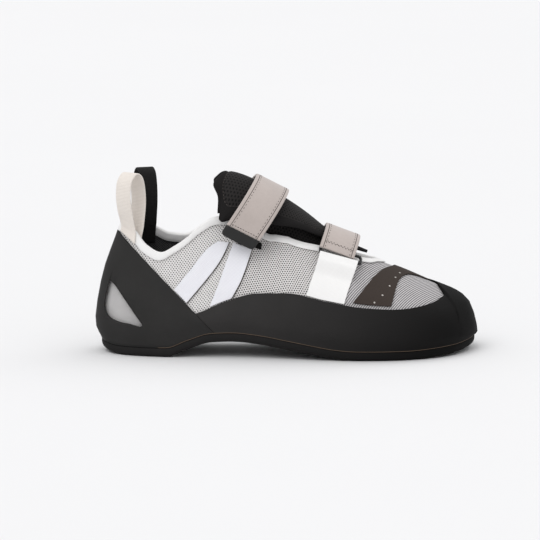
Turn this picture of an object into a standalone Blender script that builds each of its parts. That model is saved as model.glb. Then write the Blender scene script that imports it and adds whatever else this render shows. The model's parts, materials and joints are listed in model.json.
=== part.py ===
"""Right climbing shoe with two hook-and-loop straps, built piece by piece around one last.

All lengths are in millimetres and become metres when a mesh is made. +X runs from heel to toe, +Y to the
medial side and +Z up. The origin is on the floor, at the centre of the heel's resting spot.
"""

import math
from functools import lru_cache

import bmesh
import bpy
import numpy as np

METRE = 0.001

# Last: the outer surface of the fabric upper
LAST_LENGTH = 257.0
BALL_WIDTH = 89.0
HEEL_HEIGHT = 88.0
INSTEP_HEIGHT = 100.0
SEAT_FROM_BACK = 36.0
FEATHER_INSET = 3.5
STATIONS = 12

# Walls, clearances and layers
GAP = 0.3
DRAPE_GAP = 0.5
RUBBER_GAP = 0.5
BINDING_GAP = 0.5
BINDING_INSIDE = 0.9
UPPER_WALL = 1.8
LASTING_MARGIN = 9.0
RAND_WALL = 2.5
RAND_SKIVE = 1.0
SOLE_THICKNESS = 6.5
SOLE_EDGE_RADIUS = 3.2
INSOLE_THICKNESS = 2.0
INSOLE_INSET = 3.2
BINDING_WIDTH = 5.0
BINDING_WALL = 0.8
WEBBING_WALL = 0.9
OVERLAY_WALL = 0.6
PATCH_WALL = 1.0

# Straps, tongue, ring and pull loops
STRAP_WIDTH = 25.0
STRAP_WALL = 2.2
TAB_WALL = 3.0
GUSSET_WALL = 1.2
RING_BAR = 2.0
WEBBING_TURN = 5.0
LOOP_WIDTH = 12.0
LOOP_WALL = 1.3

COLUMNS = 36
THROAT_COLUMNS = (7.2, 8.6)
SPINE_SPAN = (0.09, 0.91)
ROW_CROWDING = 1.3
SEAM_COLUMNS = 3
UPPER_ROWS = 4
RAND_ROWS = 5

# Sections of the last at cosine stations from heel back to toe tip. Breadths are shares of BALL_WIDTH,
# negative on the lateral side. Heights are shares of INSTEP_HEIGHT.
#    widest ring             shoulder ring           top ring (cone or ridge)
#    lateral medial height   lateral medial height   lateral medial height
SECTIONS = (
    (0.000, 0.000, 0.230,    0.000, 0.000, 0.580,    0.000, 0.000, 0.925),
    (-0.140, 0.140, 0.230,   -0.122, 0.122, 0.580,   -0.100, 0.100, 0.925),
    (-0.253, 0.247, 0.230,   -0.213, 0.213, 0.580,   -0.174, 0.174, 0.925),
    (-0.326, 0.309, 0.250,   -0.275, 0.275, 0.570,   -0.215, 0.215, 0.930),
    (-0.360, 0.331, 0.290,   -0.303, 0.303, 0.570,   -0.215, 0.215, 0.965),
    (-0.393, 0.331, 0.300,   -0.326, 0.315, 0.590,   -0.110, 0.120, 1.005),
    (-0.461, 0.360, 0.270,   -0.360, 0.326, 0.570,   0.022, 0.022, 0.900),
    (-0.517, 0.416, 0.220,   -0.385, 0.348, 0.500,   0.034, 0.034, 0.775),
    (-0.528, 0.466, 0.190,   -0.385, 0.371, 0.425,   0.067, 0.067, 0.640),
    (-0.455, 0.472, 0.175,   -0.325, 0.371, 0.375,   0.096, 0.096, 0.545),
    (-0.300, 0.421, 0.170,   -0.190, 0.326, 0.335,   0.120, 0.120, 0.465),
    (-0.080, 0.303, 0.145,   -0.020, 0.235, 0.312,   0.132, 0.132, 0.420),
    (0.146, 0.146, 0.130,    0.135, 0.135, 0.305,    0.135, 0.135, 0.405),
)
RING_LATERAL, RING_MEDIAL, RING_HEIGHT = 0, 1, 2

# Where each ring starts and ends along the last, as shares of LAST_LENGTH
RING_SPANS = ((0.017, 0.992), (0.000, 1.000), (0.024, 0.980), (0.066, 0.938))

# Underside of the sole along the last: share of LAST_LENGTH, height as a share of SOLE_THICKNESS
SOLE_PROFILE = (
    (0.00, 0.62), (0.03, 0.18), (0.06, 0.0), (0.18, 0.0), (0.23, 0.75), (0.30, 1.62), (0.36, 1.72),
    (0.43, 1.48), (0.51, 0.95), (0.58, 0.45), (0.63, 0.14), (0.68, 0.0), (0.82, 0.0), (0.88, 0.10),
    (0.94, 0.24), (1.00, 0.56),
)

# Collar and throat edge: share of LAST_LENGTH, height as a share of HEEL_HEIGHT
COLLAR_LATERAL = (
    (0.03, 1.015), (0.065, 1.0), (0.09, 0.968), (0.125, 0.855), (0.165, 0.80), (0.20, 0.85), (0.235, 0.92),
    (0.27, 1.01), (0.315, 1.075), (0.36, 1.07), (0.45, 0.975),
    (0.55, 0.89), (0.63, 0.80), (0.70, 0.735), (0.745, 0.71),
)
COLLAR_MEDIAL = (
    (0.03, 1.015), (0.10, 1.005), (0.145, 0.945), (0.185, 0.888), (0.226, 0.875), (0.254, 0.905),
    (0.28, 0.955), (0.32, 0.99), (0.36, 0.99), (0.45, 0.95),
    (0.55, 0.89), (0.63, 0.80), (0.70, 0.735), (0.745, 0.71),
)
# Half the throat's width from its start to its end: share of LAST_LENGTH, share of BALL_WIDTH
THROAT_HALF = (
    (0.40, 0.17), (0.45, 0.168), (0.50, 0.178), (0.54, 0.174),
    (0.62, 0.158), (0.68, 0.128), (0.72, 0.078), (0.742, 0.0),
)
THROAT_START = 0.36
THROAT_BLEND = 0.08
THROAT_END = 0.742

# Top edge of the rand from the heel seam to the toe: share of LAST_LENGTH, height as a share of HEEL_HEIGHT
RAND_TOP_LATERAL = (
    (0.20, 0.29), (0.27, 0.36), (0.34, 0.445), (0.42, 0.51), (0.50, 0.515), (0.60, 0.455), (0.70, 0.405),
    (0.80, 0.385), (0.87, 0.40), (0.925, 0.445), (0.955, 0.60),
)
RAND_TOP_MEDIAL = (
    (0.20, 0.29), (0.27, 0.36), (0.34, 0.445), (0.42, 0.51), (0.50, 0.53), (0.60, 0.51), (0.70, 0.50),
    (0.79, 0.53), (0.85, 0.53), (0.92, 0.50), (0.955, 0.60),
)
TOE_CAP_START = 0.955

# Heel band: the line of its upper edge, from the heel top to the sole
BAND_TOP = (0.048, 0.966)
BAND_FOOT = (0.306, 0.205)
WINDOW = (
    (0.029, 0.58), (0.045, 0.54), (0.115, 0.259), (0.078, 0.257), (0.049, 0.270), (0.027, 0.30),
    (0.0176, 0.352), (0.0148, 0.42),
)

# Angle above level at which the places marked "seen" are given, looking at the lateral side
SIGHT_ANGLE = math.radians(9)

# Tongue along its middle line: distance along the last, top height, half width, side drop, thickness
TONGUE_LINE = (
    (184, 68.6, 2.2, 0.3, 2.0),
    (176, 72.0, 5.5, 0.8, 2.3),
    (167, 76.6, 9.0, 1.5, 2.6),
    (155, 84.3, 14.5, 4.0, 3.4),
    (141, 95.5, 21.0, 9.0, 5.0),
    (128, 104.5, 25.0, 16.0, 6.0),
    (115, 112.5, 26.5, 21.0, 6.0),
    (104, 119.0, 27.0, 27.0, 6.0),
    (94, 123.0, 27.0, 31.0, 6.0),
    (86, 124.3, 24.5, 29.5, 5.4),
    (82, 123.5, 20.0, 26.0, 3.8),
)
# Rear edge of the tongue from its middle to its side: place across, distance along the last
TONGUE_REAR = ((0.0, 86.0), (0.25, 80.5), (0.5, 76.5), (0.72, 78.0), (1.0, 75.5))
TONGUE_REAR_REACH = 3.0

# Gusset under the tongue: distance along the last, top height, half width at its foot, foot height
GUSSET_LINE = (
    (172, 68.0, 6.0, 60.0), (160, 75.5, 9.5, 65.0), (147, 83.5, 10.4, 69.0), (134, 91.0, 11.0, 73.0),
    (119, 98.0, 11.2, 77.0), (104, 104.0, 10.5, 81.0), (92, 107.0, 9.5, 83.0),
)

# Straps: across the foot from the lateral end to the medial end, and up in the strap's own plane
TOP_STRAP_CENTRE = (118.6, 115.8)
TOP_STRAP_LEAN = 34.0
TOP_STRAP_SKEW = 27.0
TOP_STRAP_PATH = (
    (-32.0, -43.5), (-31.5, -33.0), (-29.5, -21.5), (-22.5, -10.5), (-12.5, -3.0), (0.0, 0.0),
    (12.5, -3.0), (22.5, -10.5), (29.0, -21.5), (29.0, -31.8), (27.6, -41.8), (29.5, -53.5),
)
LOWER_STRAP_CENTRE = (167.0, 83.0)
LOWER_STRAP_LEAN = 20.6
LOWER_STRAP_SKEW = 20.6
LOWER_STRAP_PATH = (
    (-20.3, -13.2), (-16.6, -8.2), (-9.5, -2.2), (0.0, 0.0), (11.0, -2.0), (20.0, -7.5), (27.0, -17.0),
    (31.8, -27.0), (34.5, -33.2),
)

# Distances along the last and heights in the tables above and below are drawn on a last of these sizes
DRAWN_LENGTH = 257.0
DRAWN_BREADTH = 89.0
DRAWN_HEIGHT = 88.0
DRAWN_INSTEP = 100.0

# Flat pieces on the lateral side: left and right edges from top to bottom, as seen distances along the last
# and heights
STRIPE_REAR = (((81.5, 74.5), (73.5, 70.5), (65.0, 61.0), (52.5, 46.5)),
               ((89.0, 73.5), (83.5, 64.0), (74.0, 52.5), (61.0, 38.0)))
STRIPE_FRONT = (((92.0, 73.5), (87.0, 60.5), (82.0, 46.5), (76.0, 31.5)),
                ((104.5, 68.5), (101.0, 58.0), (97.0, 48.0), (91.0, 37.5)))
WEBBING = (((150.0, 64.3), (148.0, 57.0), (144.5, 47.0), (141.5, 38.0)),
           ((175.0, 56.8), (173.0, 50.5), (170.0, 42.5), (167.0, 33.5)))
HOOK_PATCH = (((95.0, 76.0), (95.0, 72.5)), ((111.0, 73.0), (111.0, 68.5)))

# Toe overlay from the lateral rand edge (-1) over the ridge (0) to the medial rand edge (1): distances along
# the last of its rear and front edges
OVERLAY_CLEAR = 0.03
FOOT_CLEAR = 0.8
OVERLAY_LINE = (
    (-1.0, 173.0, 199.0), (-0.5, 187.0, 204.0), (-0.15, 199.0, 214.0), (0.0, 203.0, 224.0),
    (0.5, 201.0, 226.0), (1.0, 193.0, 218.0),
)

# Left end, middle and right end of the ring, seen
RING_SPOTS = ((150.5, 67.3), (164.0, 63.3), (177.0, 58.3))
RING_LENGTH = 31.0
RING_HEIGHT = 9.0
RING_LIFT = 3.2

# Pull loop, from its outer foot over the top to its inner foot: out from the collar's face, height
LOOP_LINE = (
    (2.4, 80.8), (2.5, 85.0), (3.9, 91.0), (7.0, 100.0), (8.5, 110.0), (7.0, 119.0), (1.0, 124.0),
    (-5.5, 121.0), (-8.5, 112.0), (-9.0, 102.0), (-7.5, 92.0), (-5.8, 82.0), (-5.6, 72.0),
)
LOOP_PLACES = {1: 1.35, -1: 2.05}
LOOP_FOOT_SLANT = 8.0

BLACK_RUBBER = (0.018, 0.018, 0.019)
FABRICS = {
    "mesh_grey": ((0.42, 0.42, 0.43), 0.8, 0.0),
    "rubber": (BLACK_RUBBER, 0.55, 0.0),
    "suede_grey": ((0.40, 0.37, 0.355), 0.9, 0.0),
    "webbing_white": ((0.82, 0.81, 0.79), 0.75, 0.0),
    "webbing_lavender": ((0.72, 0.74, 0.82), 0.7, 0.0),
    "webbing_beige": ((0.55, 0.52, 0.47), 0.85, 0.0),
    "mesh_black": ((0.020, 0.019, 0.019), 0.85, 0.0),
    "toe_overlay": ((0.055, 0.046, 0.042), 0.7, 0.0),
    "plastic_black": ((0.015, 0.015, 0.015), 0.35, 0.0),
    "insole_grey": ((0.10, 0.10, 0.10), 0.9, 0.0),
}


# Interpolation

def curve(table, at):
    """Monotone cubic through a short table of (place, value) rows."""
    places = [row[0] for row in table]
    values = [row[1] for row in table]
    if at <= places[0]:
        return values[0]
    if at >= places[-1]:
        return values[-1]
    steps = [b - a for a, b in zip(places, places[1:])]
    slopes = [(b - a) / step for a, b, step in zip(values, values[1:], steps)]
    tangents = [slopes[0]]
    for before, after in zip(slopes, slopes[1:]):
        same_way = before * after > 0
        tangents.append(2 * before * after / (before + after) if same_way else 0.0)
    tangents.append(slopes[-1])
    k = max(i for i in range(len(steps)) if places[i] <= at)
    s = (at - places[k]) / steps[k]
    start, end = values[k], values[k + 1]
    rise_in, rise_out = tangents[k] * steps[k], tangents[k + 1] * steps[k]
    return (
        start * (2 * s**3 - 3 * s**2 + 1)
        + rise_in * (s**3 - 2 * s**2 + s)
        + end * (3 * s**2 - 2 * s**3)
        + rise_out * (s**3 - s**2)
    )


def through(points, s):
    """Catmull-Rom curve through points, s from 0 to len(points) - 1."""
    k = min(max(int(math.floor(s)), 0), len(points) - 2)
    f = s - k
    before = points[k - 1] if k else 2 * points[0] - points[1]
    after = points[k + 2] if k + 2 < len(points) else 2 * points[-1] - points[-2]
    a, b = points[k], points[k + 1]
    return 0.5 * (
        2 * a + (b - before) * f + (2 * before - 5 * a + 4 * b - after) * f**2
        + (3 * a - before - 3 * b + after) * f**3
    )


# The last's surface

def station_share(q):
    """Share of the length at q: 0 heel back, STATIONS toe tip, 2 * STATIONS heel back again."""
    return (1 - math.cos(math.pi * q / STATIONS)) / 2


def section_value(ring, column, q):
    """One column of SECTIONS round the whole loop, smooth through the heel back and the toe tip."""
    total = 2 * STATIONS

    def row_value(n):
        n %= total
        medial = n > STATIONS
        row = SECTIONS[total - n if medial else n]
        if column == RING_HEIGHT:
            return row[3 * ring - 1]
        return row[3 * ring - 3 + (RING_MEDIAL if medial else RING_LATERAL)]

    k = math.floor(q)
    values = [row_value(k + i) for i in (-1, 0, 1, 2)]
    return through(values, 1 + q - k)


def sole_underside(x_share):
    return curve(SOLE_PROFILE, x_share) * SOLE_THICKNESS


def ring_point(ring, q):
    """Point of one of the last's four rings: 0 feather line, 1 widest, 2 shoulder, 3 cone top or ridge."""
    first, last = RING_SPANS[ring]
    share = first + (last - first) * station_share(q)
    x = share * LAST_LENGTH - SEAT_FROM_BACK
    if ring == 0:
        widest = section_value(1, RING_LATERAL, q) * BALL_WIDTH
        middle = spine_offset(q)
        y = middle + (widest - middle) * (1 - 2 * FEATHER_INSET / BALL_WIDTH)
        z = sole_underside(share) + SOLE_THICKNESS
    else:
        y = section_value(ring, RING_LATERAL, q) * BALL_WIDTH
        z = section_value(ring, RING_HEIGHT, q) * INSTEP_HEIGHT
    return np.array((x, y, z))


def spine_offset(q):
    """Middle of the widest ring between its lateral and medial sides, at this station."""
    mirror = (2 * STATIONS - q) % (2 * STATIONS)
    a = section_value(1, RING_LATERAL, q)
    b = section_value(1, RING_LATERAL, mirror)
    return (a + b) / 2 * BALL_WIDTH


def top_closing(q):
    """1 where the last is closed over the vamp, 0 where its cone is open."""
    mirror = (2 * STATIONS - q) % (2 * STATIONS)
    gap = abs(ring_point(3, q)[1] - ring_point(3, mirror)[1])
    return 1 - min(1.0, gap / (0.08 * BALL_WIDTH))


@lru_cache(maxsize=None)
def wall_line(q):
    """Points the last's wall passes through at q, from the feather line to the ridge and one beyond it."""
    rings = [ring_point(ring, q) for ring in range(4)]
    mirror = (2 * STATIONS - q) % (2 * STATIONS)
    closed = top_closing(q)
    beyond = closed * ring_point(2, mirror) + (1 - closed) * (2 * rings[3] - rings[2])
    return np.array(rings + [beyond])


def last_point(q, t):
    """Point of the last's surface: t 0 at the feather line, 1 at the ridge."""
    return through(wall_line(q), 3 * t)


def last_normal(q, t):
    """Outward normal of the last's surface."""
    step = 0.02
    low, high = max(0.0, t - step), min(1.0, t + step)
    up = last_point(q, high) - last_point(q, low)
    along = last_point(q + step, t) - last_point(q - step, t)
    if t > 1 - step and top_closing(q) > 0.5:
        mirror = (2 * STATIONS - q) % (2 * STATIONS)
        across = last_point(mirror, 1 - 2 * step) - last_point(q, 1 - 2 * step)
        normal = np.cross(along, across)
        if np.linalg.norm(normal) < 1e-9:
            return np.array((0.0, 0.0, 1.0))
        normal /= np.linalg.norm(normal)
        return normal if normal[2] > 0 else -normal
    normal = np.cross(along, up)
    if t < 1 / 3:
        normal[2] = max(0.0, normal[2])
    return normal / np.linalg.norm(normal)


def lifted(q, t, lift):
    return last_point(q, t) + last_normal(q, t) * lift


def place_share(q, t):
    return (last_point(q, t)[0] + SEAT_FROM_BACK) / LAST_LENGTH


def is_lateral(q):
    return q % (2 * STATIONS) <= STATIONS


def world_x(share):
    return share * LAST_LENGTH - SEAT_FROM_BACK


def drawn_x(distance):
    """World place of a distance along the last taken from the drawn tables."""
    return world_x(distance / DRAWN_LENGTH)


def drawn_y(breadth):
    return breadth * BALL_WIDTH / DRAWN_BREADTH


def drawn_z(height):
    return height * INSTEP_HEIGHT / DRAWN_INSTEP


def solve(function, low, high):
    """Where a rising function crosses zero between low and high."""
    for _ in range(30):
        middle = (low + high) / 2
        if function(middle) < 0:
            low = middle
        else:
            high = middle
    return (low + high) / 2


def edge_share(q):
    """The t of the collar or throat edge at q, and 1 where the vamp is closed."""
    table = COLLAR_LATERAL if is_lateral(q) else COLLAR_MEDIAL
    if place_share(q, 1.0) > THROAT_END:
        return 1.0
    t = solve(lambda t: last_point(q, t)[2] - HEEL_HEIGHT * curve(table, place_share(q, t)), 0.3, 1.0)
    place = place_share(q, t)
    if place < THROAT_START:
        return t
    ridge = (last_point(q, 1.0) + last_point((2 * STATIONS - q) % (2 * STATIONS), 1.0)) / 2

    def spare(t):
        return BALL_WIDTH * curve(THROAT_HALF, place_share(q, t)) - abs(last_point(q, t)[1] - ridge[1])

    t_throat = solve(spare, 0.3, 1.0)
    blend = min(1.0, (place - THROAT_START) / THROAT_BLEND)
    return t + (t_throat - t) * blend * blend * (3 - 2 * blend)


def below_edge(q, edge, distance):
    """The t a distance below the collar edge, measured along the wall."""
    slope = np.linalg.norm(last_point(q, edge) - last_point(q, edge - 0.02)) / 0.02
    return edge - distance / slope


def rand_share(q):
    """The t of the rand's top edge at q, and 1 over the toe."""
    table = RAND_TOP_LATERAL if is_lateral(q) else RAND_TOP_MEDIAL
    if station_share(q) > TOE_CAP_START:
        return 1.0
    return solve(lambda t: last_point(q, t)[2] - HEEL_HEIGHT * curve(table, place_share(q, t)), 0.02, 1.0)


def band_line(z):
    """Distance along the last of the heel band's upper edge at height z."""
    (x_top, z_top), (x_foot, z_foot) = BAND_TOP, BAND_FOOT
    fall = (z_top - z / HEEL_HEIGHT) / (z_top - z_foot)
    return world_x(x_top + fall * (x_foot - x_top))


def band_share(q):
    """The t at which the wall at q meets the heel band's upper edge."""
    return solve(lambda t: last_point(q, t)[0] - band_line(last_point(q, t)[2]), 0.0, 0.98)


def seam_corner(side):
    """Loop position where the rand's top edge meets the heel band, on the side given as 1 or -1."""
    def ahead(q):
        q_side = q if side > 0 else 2 * STATIONS - q
        point = last_point(q_side, rand_share(q_side))
        return point[0] - band_line(point[2])
    return solve(ahead, 2.0, 6.0)


def seam_position(side, top_share, f, shift):
    """Loop distance from the heel back of the seam at height fraction f, moved along by shift."""
    def ahead(q):
        point = last_point(q if side > 0 else 2 * STATIONS - q, f * top_share)
        return point[0] - band_line(point[2]) - shift
    return solve(ahead, 1.0, 7.5)


# Meshes

def clear_scene():
    for obj in list(bpy.data.objects):
        bpy.data.objects.remove(obj, do_unlink=True)


def material(name):
    found = bpy.data.materials.get(name)
    if found:
        return found
    colour, roughness, metallic = FABRICS[name]
    made = bpy.data.materials.new(name)
    made.use_nodes = True
    shader = made.node_tree.nodes["Principled BSDF"]
    shader.inputs["Base Color"].default_value = (*colour, 1.0)
    shader.inputs["Roughness"].default_value = roughness
    shader.inputs["Metallic"].default_value = metallic
    return made


def make_object(name, points, faces, finish):
    mesh = bpy.data.meshes.new(name)
    mesh.from_pydata([tuple(np.asarray(p) * METRE) for p in points], [], faces)
    work = bmesh.new()
    work.from_mesh(mesh)
    bmesh.ops.remove_doubles(work, verts=work.verts, dist=0.002 * METRE)
    bmesh.ops.recalc_face_normals(work, faces=work.faces)
    if work.calc_volume(signed=True) < 0:
        bmesh.ops.reverse_faces(work, faces=work.faces)
    work.to_mesh(mesh)
    work.free()
    mesh.materials.append(material(finish))
    mesh.shade_smooth()
    mesh.set_sharp_from_angle(angle=math.radians(40))
    obj = bpy.data.objects.new(name, mesh)
    bpy.context.scene.collection.objects.link(obj)
    return obj


def grid_solid(name, rows, finish, ring=False, tube=True, skip=None):
    """A closed solid from a grid of points, rows[r][c].

    A tube's last row joins its first. A ring's last column joins its first, and otherwise the two ends are
    closed. skip(r, c) leaves out faces where the grid is zipped together.
    """
    height, width = len(rows), len(rows[0])
    points = [p for row in rows for p in row]
    faces = []
    for r in range(height if tube else height - 1):
        for c in range(width if ring else width - 1):
            if skip and skip(r, c):
                continue
            below, above = r * width, (r + 1) % height * width
            right = (c + 1) % width
            corners = (below + c, below + right, above + right, above + c)
            turn = 1 if tube and r >= height // 2 else 0
            faces.append((corners[turn], corners[turn + 1], corners[turn + 2]))
            faces.append((corners[turn], corners[turn + 2], corners[(turn + 3) % 4]))
    if not ring:
        for c in (0, width - 1):
            for r in range(height // 2 - 1):
                other = height - 1 - r
                low, high = other - 1, other
                faces.append((r * width + c, (r + 1) * width + c, low * width + c, high * width + c))
    return make_object(name, points, faces, finish)


def sheet_solid(name, outer, inner, finish, ring=False, skip=None):
    """A wall between two grids of points, outer[r][c] and inner[r][c]."""
    return grid_solid(name, list(outer) + list(inner)[::-1], finish, ring, True, skip)


def loop_positions():
    """Loop positions of the columns, closer together round the end of the throat."""
    first, last = THROAT_COLUMNS
    side = [c * STATIONS / COLUMNS for c in range(1, COLUMNS)]
    side += [q + STATIONS / COLUMNS / 2 for q in side if first <= q < last]
    side.sort()
    return [0.0] + side + [STATIONS] + [2 * STATIONS - q for q in reversed(side)]


# Pieces that follow the last

def spine_share(q):
    first, last = SPINE_SPAN
    return first + (last - first) * station_share(q)


def inward(q, point, distance):
    """The point moved level towards the last's middle line."""
    share = spine_share(q)
    middle = np.array((world_x(share), spine_offset(q), point[2]))
    way = middle - point
    way[2] = 0
    return point + way / np.linalg.norm(way) * distance


def cover_share(q):
    """The t up to which rubber covers the wall at q, by the heel band or by the rand."""
    edge = edge_share(q)
    behind = band_share(q)
    below_binding = below_edge(q, edge, BINDING_WIDTH + 2 * GAP)
    return min(below_binding, max(behind, rand_share(q))) if edge < 1 else rand_share(q)


def rubber_rows():
    return [(r / RAND_ROWS) ** ROW_CROWDING for r in range(RAND_ROWS + 1)]


def outer_grid():
    """Outer face of the upper, row by row from the feather line to its edge, and the t of every point."""
    positions = loop_positions()
    edges = [edge_share(q) for q in positions]
    covers = [cover_share(q) for q in positions]
    shares = [[cover * f for cover in covers] for f in rubber_rows()]
    for r in range(1, UPPER_ROWS + 1):
        shares.append([cover + (edge - cover) * r / UPPER_ROWS for cover, edge in zip(covers, edges)])
    return positions, edges, shares


def upper(positions, edges, shares):
    outer = [[last_point(q, t) for q, t in zip(positions, row)] for row in shares]
    inner = [[lifted(q, t, -UPPER_WALL) for q, t in zip(positions, row)] for row in shares]
    for row in inner:
        for point, feather in zip(row, outer[0]):
            point[2] = max(point[2], feather[2] + UPPER_WALL)
    margin = [inward(q, point, LASTING_MARGIN) for q, point in zip(positions, outer[0])]
    margin_top = [point + np.array((0, 0, UPPER_WALL)) for point in margin]
    zipped = [edge == 1.0 for edge in edges]
    top_row = len(shares)

    def skip(r, c):
        return r == top_row and zipped[c] and zipped[(c + 1) % len(zipped)]

    return sheet_solid("upper", [margin] + outer, [margin_top] + inner, "mesh_grey", True, skip)


def sole_outline(q, out):
    """Feather line moved out level by a distance."""
    return lifted(q, 0.0, out)


def outsole():
    out = RUBBER_GAP + RAND_WALL
    rows = [[] for _ in range(7)]
    for q in loop_positions():
        edge = sole_outline(q, out)
        inset = inward(q, edge, SOLE_EDGE_RADIUS)
        spine = np.array((world_x(spine_share(q)), spine_offset(q), 0.0))
        corner = (edge * 0.7 + inset * 0.3)
        half_way = inward(q, edge, 3 * SOLE_EDGE_RADIUS)
        for row, point, lift in (
            (0, spine, 0.0), (1, half_way, 0.0), (2, inset, 0.0), (3, corner, 0.3 * SOLE_EDGE_RADIUS),
            (4, edge, SOLE_EDGE_RADIUS),
        ):
            share = (point[0] + SEAT_FROM_BACK) / LAST_LENGTH
            rows[row].append(np.array((point[0], point[1], sole_underside(share) + lift)))
        for row, point in ((5, edge), (6, spine)):
            rows[row].append(np.array((point[0], point[1], last_point(q, 0.0)[2] - GAP)))
    return grid_solid("outsole", rows, "rubber", True, False)


def insole():
    rows = [[] for _ in range(4)]
    for q in loop_positions():
        edge = inward(q, last_point(q, 0.0), INSOLE_INSET)
        share = spine_share(q)
        spine = np.array((world_x(share), spine_offset(q), edge[2]))
        for row, point, lift in ((0, spine, 0), (1, edge, 0), (2, edge, 1), (3, spine, 1)):
            rows[row].append(point + np.array((0, 0, UPPER_WALL + GAP + lift * INSOLE_THICKNESS)))
    return grid_solid("insole", rows, "insole_grey", True, False)


def seam_tops():
    """For each side, the loop position of the seam's top corner and the t there."""
    made = {}
    for side in (1, -1):
        corner = seam_corner(side)
        made[side] = (corner, rand_share(corner if side > 0 else 2 * STATIONS - corner))
    return made


def side_position(q, side):
    return q if side > 0 else 2 * STATIONS - q


def rand_end(side, f, tops):
    """Columns from the seam forward on one side: loop position, and the t of the top edge there."""
    corner, top = tops[side]
    first = seam_position(side, top, f, GAP / 2)
    start = seam_position(side, top, 1.0, GAP / 2)
    foot = seam_position(side, top, 0.0, GAP / 2)
    beyond = min(q for q in loop_positions() if q > foot + 0.2)
    made = []
    for j in range(SEAM_COLUMNS):
        q_top = start + (beyond - start) * j / SEAM_COLUMNS
        q = first + (beyond - first) * j / SEAM_COLUMNS
        made.append((side_position(q, side), rand_share(side_position(q_top, side))))
    return made, beyond


def rand():
    """Rubber wall from the lateral heel seam round the toe to the medial one."""
    tops = seam_tops()
    outer, inner = [], []
    for f in rubber_rows():
        near, near_beyond = rand_end(1, f, tops)
        far, far_beyond = rand_end(-1, f, tops)
        middle = [q for q in loop_positions() if near_beyond <= q <= 2 * STATIONS - far_beyond]
        places = near + [(q, rand_share(q)) for q in middle] + far[::-1]
        wall = RUBBER_GAP + (RAND_SKIVE if f == 1 else RAND_WALL)
        outer.append([lifted(q, f * top, wall) for q, top in places])
        inner.append([lifted(q, f * top, RUBBER_GAP) for q, top in places])
    closed = [top == 1.0 for _, top in places]

    def skip(r, c):
        return r == RAND_ROWS and closed[c] and closed[c + 1]

    return sheet_solid("rand", outer, inner, "rubber", False, skip)


def band_end(side, f, tops):
    """Columns from the heel back forward to the seam on one side: loop position, and the top edge's t."""
    corner, top = tops[side]
    last = seam_position(side, top, f, -GAP / 2)
    finish = seam_position(side, top, 1.0, -GAP / 2)
    straight = [q for q in loop_positions() if q < finish - 0.3]
    made = [(side_position(q, side) % (2 * STATIONS), cover_share(side_position(q, side) % (2 * STATIONS)))
            for q in straight]
    for j in range(1, SEAM_COLUMNS + 1):
        q_top = straight[-1] + (finish - straight[-1]) * j / SEAM_COLUMNS
        q = straight[-1] + (last - straight[-1]) * j / SEAM_COLUMNS
        made.append((side_position(q, side), cover_share(side_position(q_top, side))))
    return made


def heel_band():
    """Heel cup and the two arms of its tension band, one rubber piece, cut through at its two windows."""
    tops = seam_tops()
    outer, inner = [], []
    for f in rubber_rows():
        places = band_end(1, f, tops)[::-1] + band_end(-1, f, tops)[1:]
        wall = RUBBER_GAP + (RAND_SKIVE if f == 1 else RAND_WALL)
        outer.append([lifted(q, f * top, wall) for q, top in places])
        inner.append([lifted(q, f * top, RUBBER_GAP) for q, top in places])
    band = sheet_solid("heel_band", outer, inner, "rubber")
    outline = [np.array((world_x(x), 0.0, z * HEEL_HEIGHT)) for x, z in WINDOW]
    reach = BALL_WIDTH
    sides = [[p + np.array((0, y, 0)) for p in outline] for y in (-reach, reach)]
    points = sides[0] + sides[1]
    count = len(outline)
    faces = [tuple(range(count)), tuple(range(2 * count - 1, count - 1, -1))]
    faces += [(i, (i + 1) % count, count + (i + 1) % count, count + i) for i in range(count)]
    cutter = make_object("window_cutter", points, faces, "rubber")
    cutter.hide_render = True
    cutter.display_type = "WIRE"
    cut = band.modifiers.new("windows", "BOOLEAN")
    cut.object = cutter
    cut.operation = "DIFFERENCE"
    return band


def collar_binding(positions, edges):
    """Folded tape over the collar and throat edge."""
    rows = [[] for _ in range(8)]
    tip = positions[edges.index(1.0)]
    for q, edge in zip(positions, edges):
        if edge == 1.0 and q != tip:
            continue
        rim = last_point(q, edge)
        out = last_normal(q, edge)
        if q == tip:
            up = last_point(q - 0.1, 1.0) - rim
        else:
            up = last_point(q, edge + 0.01) - last_point(q, edge - 0.01)
        up /= np.linalg.norm(up)
        low = below_edge(q, edge, BINDING_WIDTH)
        outer_face = BINDING_GAP + BINDING_WALL
        inside = UPPER_WALL + BINDING_INSIDE
        inner_face = inside + BINDING_WALL
        depths = (outer_face, -inner_face, -inside, BINDING_GAP)
        if q == tip:
            foot = [rim - up * BINDING_WIDTH + out * depth for depth in depths]
        else:
            foot = [lifted(q, low, depth) for depth in depths]
        crown = up * (GAP + BINDING_WALL)
        section = (
            foot[0], rim + out * outer_face + crown, rim - out * inner_face + crown, foot[1],
            foot[2], rim - out * inside + up * GAP, rim + out * BINDING_GAP + up * GAP, foot[3],
        )
        for row, point in zip(rows, section):
            row.append(point)
    return grid_solid("collar_binding", rows, "webbing_white", True)


# Pieces over the throat

@lru_cache(maxsize=None)
def ridge_offset(x):
    """How far the last's ridge lies to the medial side at a drawn distance along it."""
    q = solve(lambda q: place_share(q, 1.0) * DRAWN_LENGTH - x, 0.0, STATIONS)
    return (last_point(q, 1.0)[1] + last_point((2 * STATIONS - q) % (2 * STATIONS), 1.0)[1]) / 2


def table_at(table, s):
    return through(np.array(table, float), s)


def line_frame(table, s):
    """Direction along a middle line in the upright plane, and the direction up from it."""
    ahead, behind = table_at(table, min(s + 0.05, len(table) - 1)), table_at(table, max(s - 0.05, 0))
    along = np.array((ahead[0] - behind[0], 0.0, ahead[1] - behind[1]))
    along /= np.linalg.norm(along)
    return along, np.array((along[2], 0.0, -along[0]))


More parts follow.
